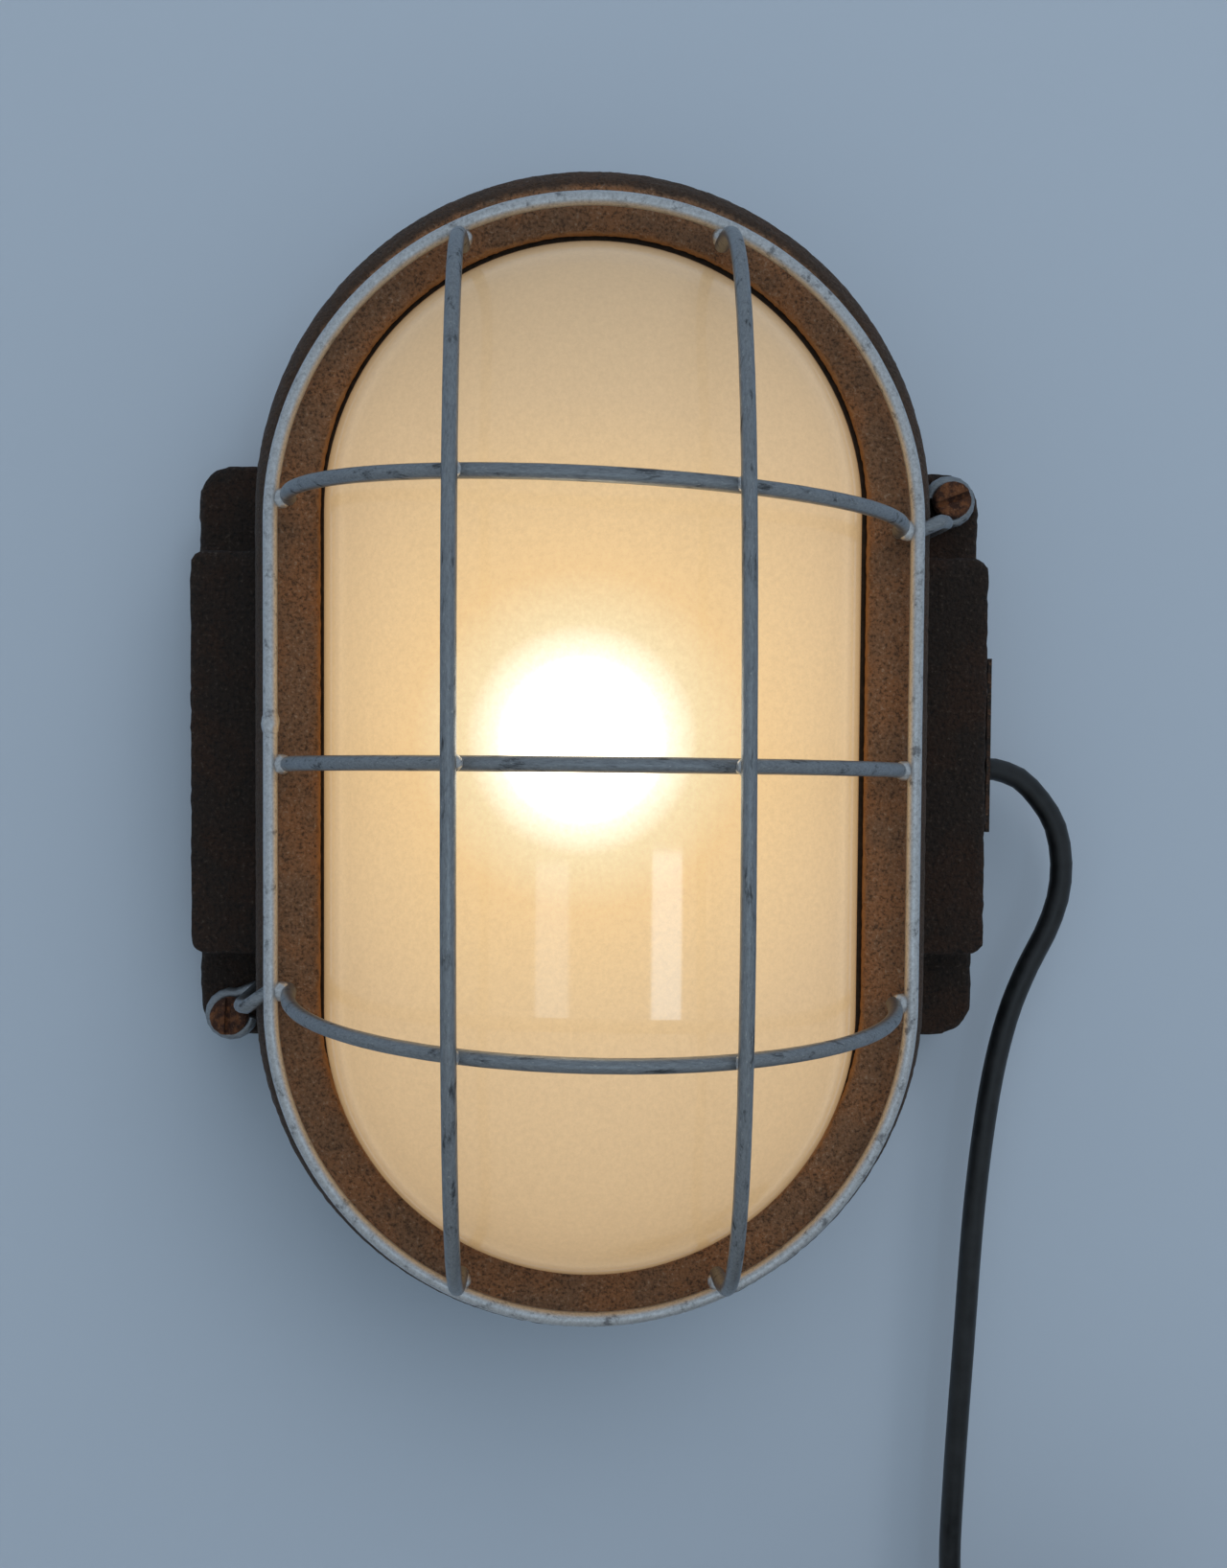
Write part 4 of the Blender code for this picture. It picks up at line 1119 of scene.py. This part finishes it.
def upright_line(low_x, bulge, high_x):
    """An upright's line from bottom to top; the bulge moves its middle sideways."""
    line = []
    for place, height in bow(UPRIGHT_STEPS, 2.9):
        x = (low_x + high_x) / 2 + (high_x - low_x) / 2 * place + bulge * height
        end_x = low_x if place < 0 else high_x
        reach = RING_HALF + math.sqrt(BAR_END**2 - end_x**2)
        line.append((x, RING_Y - UPRIGHT_RISE * height, RING_Z + reach * place))
    return line


def anchor_line(side, ring_z, leg_z, screw):
    """From a cross bar's end over the ring, back down to the ear and once round the screw."""
    route = [
        (0.0712, RING_Y + 0.0026, ring_z),
        (0.0727, STUB_Y - 0.0002, ring_z),
        (RING_RADIUS, STUB_Y, ring_z),
        (0.0790, STUB_Y, ring_z * 0.4 + leg_z * 0.6),
        (0.0815, STUB_Y + 0.0004, leg_z),
        (0.0828, STUB_Y + 0.0019, leg_z),
        (LEG_X, STUB_Y + 0.0050, leg_z),
        (LEG_X, (STUB_Y + EYE_Y) / 2, leg_z),
        (LEG_X, EYE_Y - 0.0050, leg_z),
        (LEG_X + 0.0007, EYE_Y - 0.0013, leg_z + 0.0004),
    ]
    for i in range(EYE_POINTS):
        angle = math.radians(EYE_START + EYE_STEP * i)
        route.append(
            (
                abs(screw.x) + EYE_RADIUS * math.cos(angle),
                EYE_Y,
                abs(screw.z) + EYE_RADIUS * math.sin(angle),
            )
        )
    return [(side * x, y, side * z) for x, y, z in route]


lines = {
    "guard_bar_left": upright_line(-0.0306, -0.0004, -0.0310),
    "guard_bar_right": upright_line(0.0297, 0.0014, 0.0286),
    "guard_bar_middle": cross_line(0.0, 0.0021, -0.0007),
    "guard_bar_upper": cross_line(0.0612, 0.0028, UPPER_END)
    + anchor_line(1, RING_Z + UPPER_END, 0.0562, UPPER_SCREW),
    "guard_bar_lower": cross_line(LOWER_END, -0.0065, -0.0556)[::-1]
    + anchor_line(-1, -(RING_Z + LOWER_END), 0.0590, LOWER_SCREW),
}
print({name: round(line_length(line), 3) for name, line in lines.items()})

# %% Bend the wires
def bent_wire(name, line):
    """One wire of the guard as a dented mesh."""
    made = round_wire(name, smooth_line(line, 0.0018), WIRE_RADIUS, sides=5)
    dent(made, 0.0035, 0.00008)
    smooth(made)
    return made


for node, line in lines.items():
    finish = upright_wire if node in ("guard_bar_left", "guard_bar_right") else cross_wire
    show(bent_wire(node.replace("guard_bar", "wire"), line), "guard", finish, "guard_wire", node)

# %% [markdown]
# ## Weld beads
# Where wires cross or meet the ring, a small blob of weld holds them. One bead is modelled, dented
# and copied to every joint, each copy turned another way so that no two look alike; on the ring's
# left side a thicker bead shows where the ring itself was closed.

# %% Beads
def nearest_pair(first, second):
    """The closest points of two lines."""
    pairs = ((a, b) for a in first for b in second)
    return min(pairs, key=lambda pair: (Vector(pair[0]) - Vector(pair[1])).length)


def bead(name, centre, size, turn):
    """A lump of weld; size is its half width along X, Y and Z."""
    bpy.ops.object.select_all(action="DESELECT")
    bpy.ops.mesh.primitive_ico_sphere_add(subdivisions=4, radius=1, rotation=(turn, 1.7 * turn, 0))
    made = bpy.context.object
    made.name = name
    bpy.ops.object.transform_apply(location=False, rotation=True, scale=False)
    made.scale = size
    made.location = centre
    bpy.ops.object.transform_apply(location=True, rotation=False, scale=True)
    dent(made, 0.0012, 0.0005)
    return made


UPRIGHT_END_BEAD = (0.0025, 0.0020, 0.0025)
CROSS_END_BEAD = (0.0025, 0.0020, 0.0026)
END_SHIFT = 0.0018
joints = []
for upright in ("guard_bar_left", "guard_bar_right"):
    fine_upright = smooth_line(lines[upright], 0.001)
    for cross in ("guard_bar_upper", "guard_bar_middle", "guard_bar_lower"):
        a, b = nearest_pair(fine_upright, smooth_line(lines[cross], 0.001))
        joints.append((((Vector(a) + Vector(b)) / 2), (0.0021, 0.0017, 0.0021)))
    for end in (lines[upright][0], lines[upright][-1]):
        outwards = Vector((0, 0.0002, math.copysign(END_SHIFT, end[2])))
        joints.append((Vector(end) + outwards, UPRIGHT_END_BEAD))
for cross in ("guard_bar_upper", "guard_bar_middle", "guard_bar_lower"):
    for end in (lines[cross][0], lines[cross][CROSS_STEPS]):
        outwards = Vector((math.copysign(END_SHIFT, end[0]), 0.0002, 0))
        joints.append((Vector(end) + outwards, CROSS_END_BEAD))
joints.append((Vector((-RING_RADIUS, RING_Y, 0.0075)), (0.0023, 0.0023, 0.0042)))

beads = [bead(f"bead_{i}", place, size, 0.7 * i) for i, (place, size) in enumerate(joints)]
bpy.ops.object.select_all(action="DESELECT")
for piece in beads:
    piece.select_set(True)
bpy.context.view_layer.objects.active = beads[0]
bpy.ops.object.join()
weld_beads = bpy.context.object
weld_beads.name = "weld_beads"
smooth(weld_beads)
show(weld_beads, "guard", ring_wire_glow_painted, "guard_wire")

# %% [markdown]
# ## The screws in the eyes
# Two slotted cheese-head screws hold the guard. A cylinder with a rounded rim gets a slot by a
# boolean, then a fine remesh and dents, which round the slot's edges as rust does.

# %% Guard screws
def slotted_screw(name, node, tilt):
    """A rusty slotted screw of the size of a frame node, its slot tilted in degrees from X."""
    low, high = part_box(node)
    centre = (low + high) / 2
    head_radius = (high.x - low.x) / 2
    head_height = 0.0040
    made = drill(name, (centre.x, centre.z), head_radius, low.y, low.y + head_height)
    bevel_front(made, 0.0009)
    slot_cutter = block("slot", (-0.007, -0.001, -0.0006), (0.007, 0.0013, 0.0006))
    slot_cutter.rotation_euler = (0, -math.radians(tilt), 0)
    slot_cutter.location = (centre.x, low.y, centre.z)
    bpy.context.view_layer.update()
    join_solids(made, [slot_cutter], "DIFFERENCE")
    shank = drill("shank", (centre.x, centre.z), 0.00275, low.y + head_height - 0.0005, high.y)
    join_solids(made, [shank], "UNION")
    apply(made, "REMESH", mode="VOXEL", voxel_size=0.00026)
    dent(made, 0.0011, 0.00028)
    smooth(made)
    return made


upper_guard_screw = slotted_screw("upper_guard_screw", "upper_screw", 21)
show(upper_guard_screw, "upper_screw", rusty_screw, "rusty_steel", "upper_screw")
lower_guard_screw = slotted_screw("lower_guard_screw", "lower_screw", 88)
show(lower_guard_screw, "lower_screw", rusty_screw, "rusty_steel", "lower_screw")

# %% [markdown]
# ## Wall, floor and light
# The lamp hangs on a plain pale wall above a plain floor. The daylight is soft and cool: a bright
# sky all round, a wide window in front and to the right, and two narrow ones whose reflections
# stand on the dome. The lamp's own warm glow comes from the dome. From behind, the wall lets the
# view through, so the back of the lamp can be looked at too.

# %% Wall and floor
FLOOR_Z = cad_low.z


def backdrop(name, centre, turned, colour):
    """A plain pale plane, seen from its front only."""
    bpy.ops.object.select_all(action="DESELECT")
    bpy.ops.mesh.primitive_plane_add(size=3.0, location=centre, rotation=turned)
    made = bpy.context.object
    made.name = name
    finish, tree, shader = new_material(name, colour, 0.9)
    output = tree.nodes["Material Output"]
    facing = add(tree, "ShaderNodeNewGeometry")
    through = add(tree, "ShaderNodeBsdfTransparent")
    mixed = add(
        tree,
        "ShaderNodeMixShader",
        {0: facing.outputs["Backfacing"], 1: shader.outputs[0], 2: through.outputs[0]},
    )
    tree.links.new(mixed.outputs[0], output.inputs["Surface"])
    finish_piece(made, finish)


WALL_PLACE = (0, cad_high.y + 0.0004, FLOOR_Z + 1.5)
backdrop("wall", WALL_PLACE, (math.pi / 2, 0, 0), (0.53, 0.61, 0.70))
backdrop("floor", (0, -1.5, FLOOR_Z - 0.0003), (0, 0, 0), (0.62, 0.62, 0.60))

# %% Lights
world = bpy.data.worlds.new("sky")
world.use_nodes = True
scene.world = world
sky = world.node_tree.nodes["Background"]
sky.inputs["Color"].default_value = (0.72, 0.86, 1.0, 1)
sky.inputs["Strength"].default_value = 0.43


def window(name, place, target, width, height, power, colour):
    """A soft rectangle of light at `place`, facing `target`."""
    data = bpy.data.lights.new(name, "AREA")
    data.shape = "RECTANGLE"
    data.size = width
    data.size_y = height
    data.energy = power
    data.color = colour
    made = bpy.data.objects.new(name, data)
    made.location = place
    made.rotation_euler = (Vector(target) - Vector(place)).to_track_quat("-Z", "Y").to_euler()
    made.visible_camera = False
    scene.collection.objects.link(made)
    return made


wide_window = window("wide window", (1.0, -3.0, 2.0), (0, 0, 0), 3.2, 3.2, 44.0, (0.92, 0.95, 1.0))
wide_window.visible_glossy = False
dome_right = (0.0155, -0.0917, -0.039)
dome_left = (-0.0115, -0.0918, -0.039)
window("right window", (0.222, -1.2, -0.193), dome_right, 0.110, 0.165, 0.28, (0.60, 0.82, 1.0))
window("left window", (-0.069, -1.2, -0.189), dome_left, 0.088, 0.140, 0.08, (0.60, 0.82, 1.0))
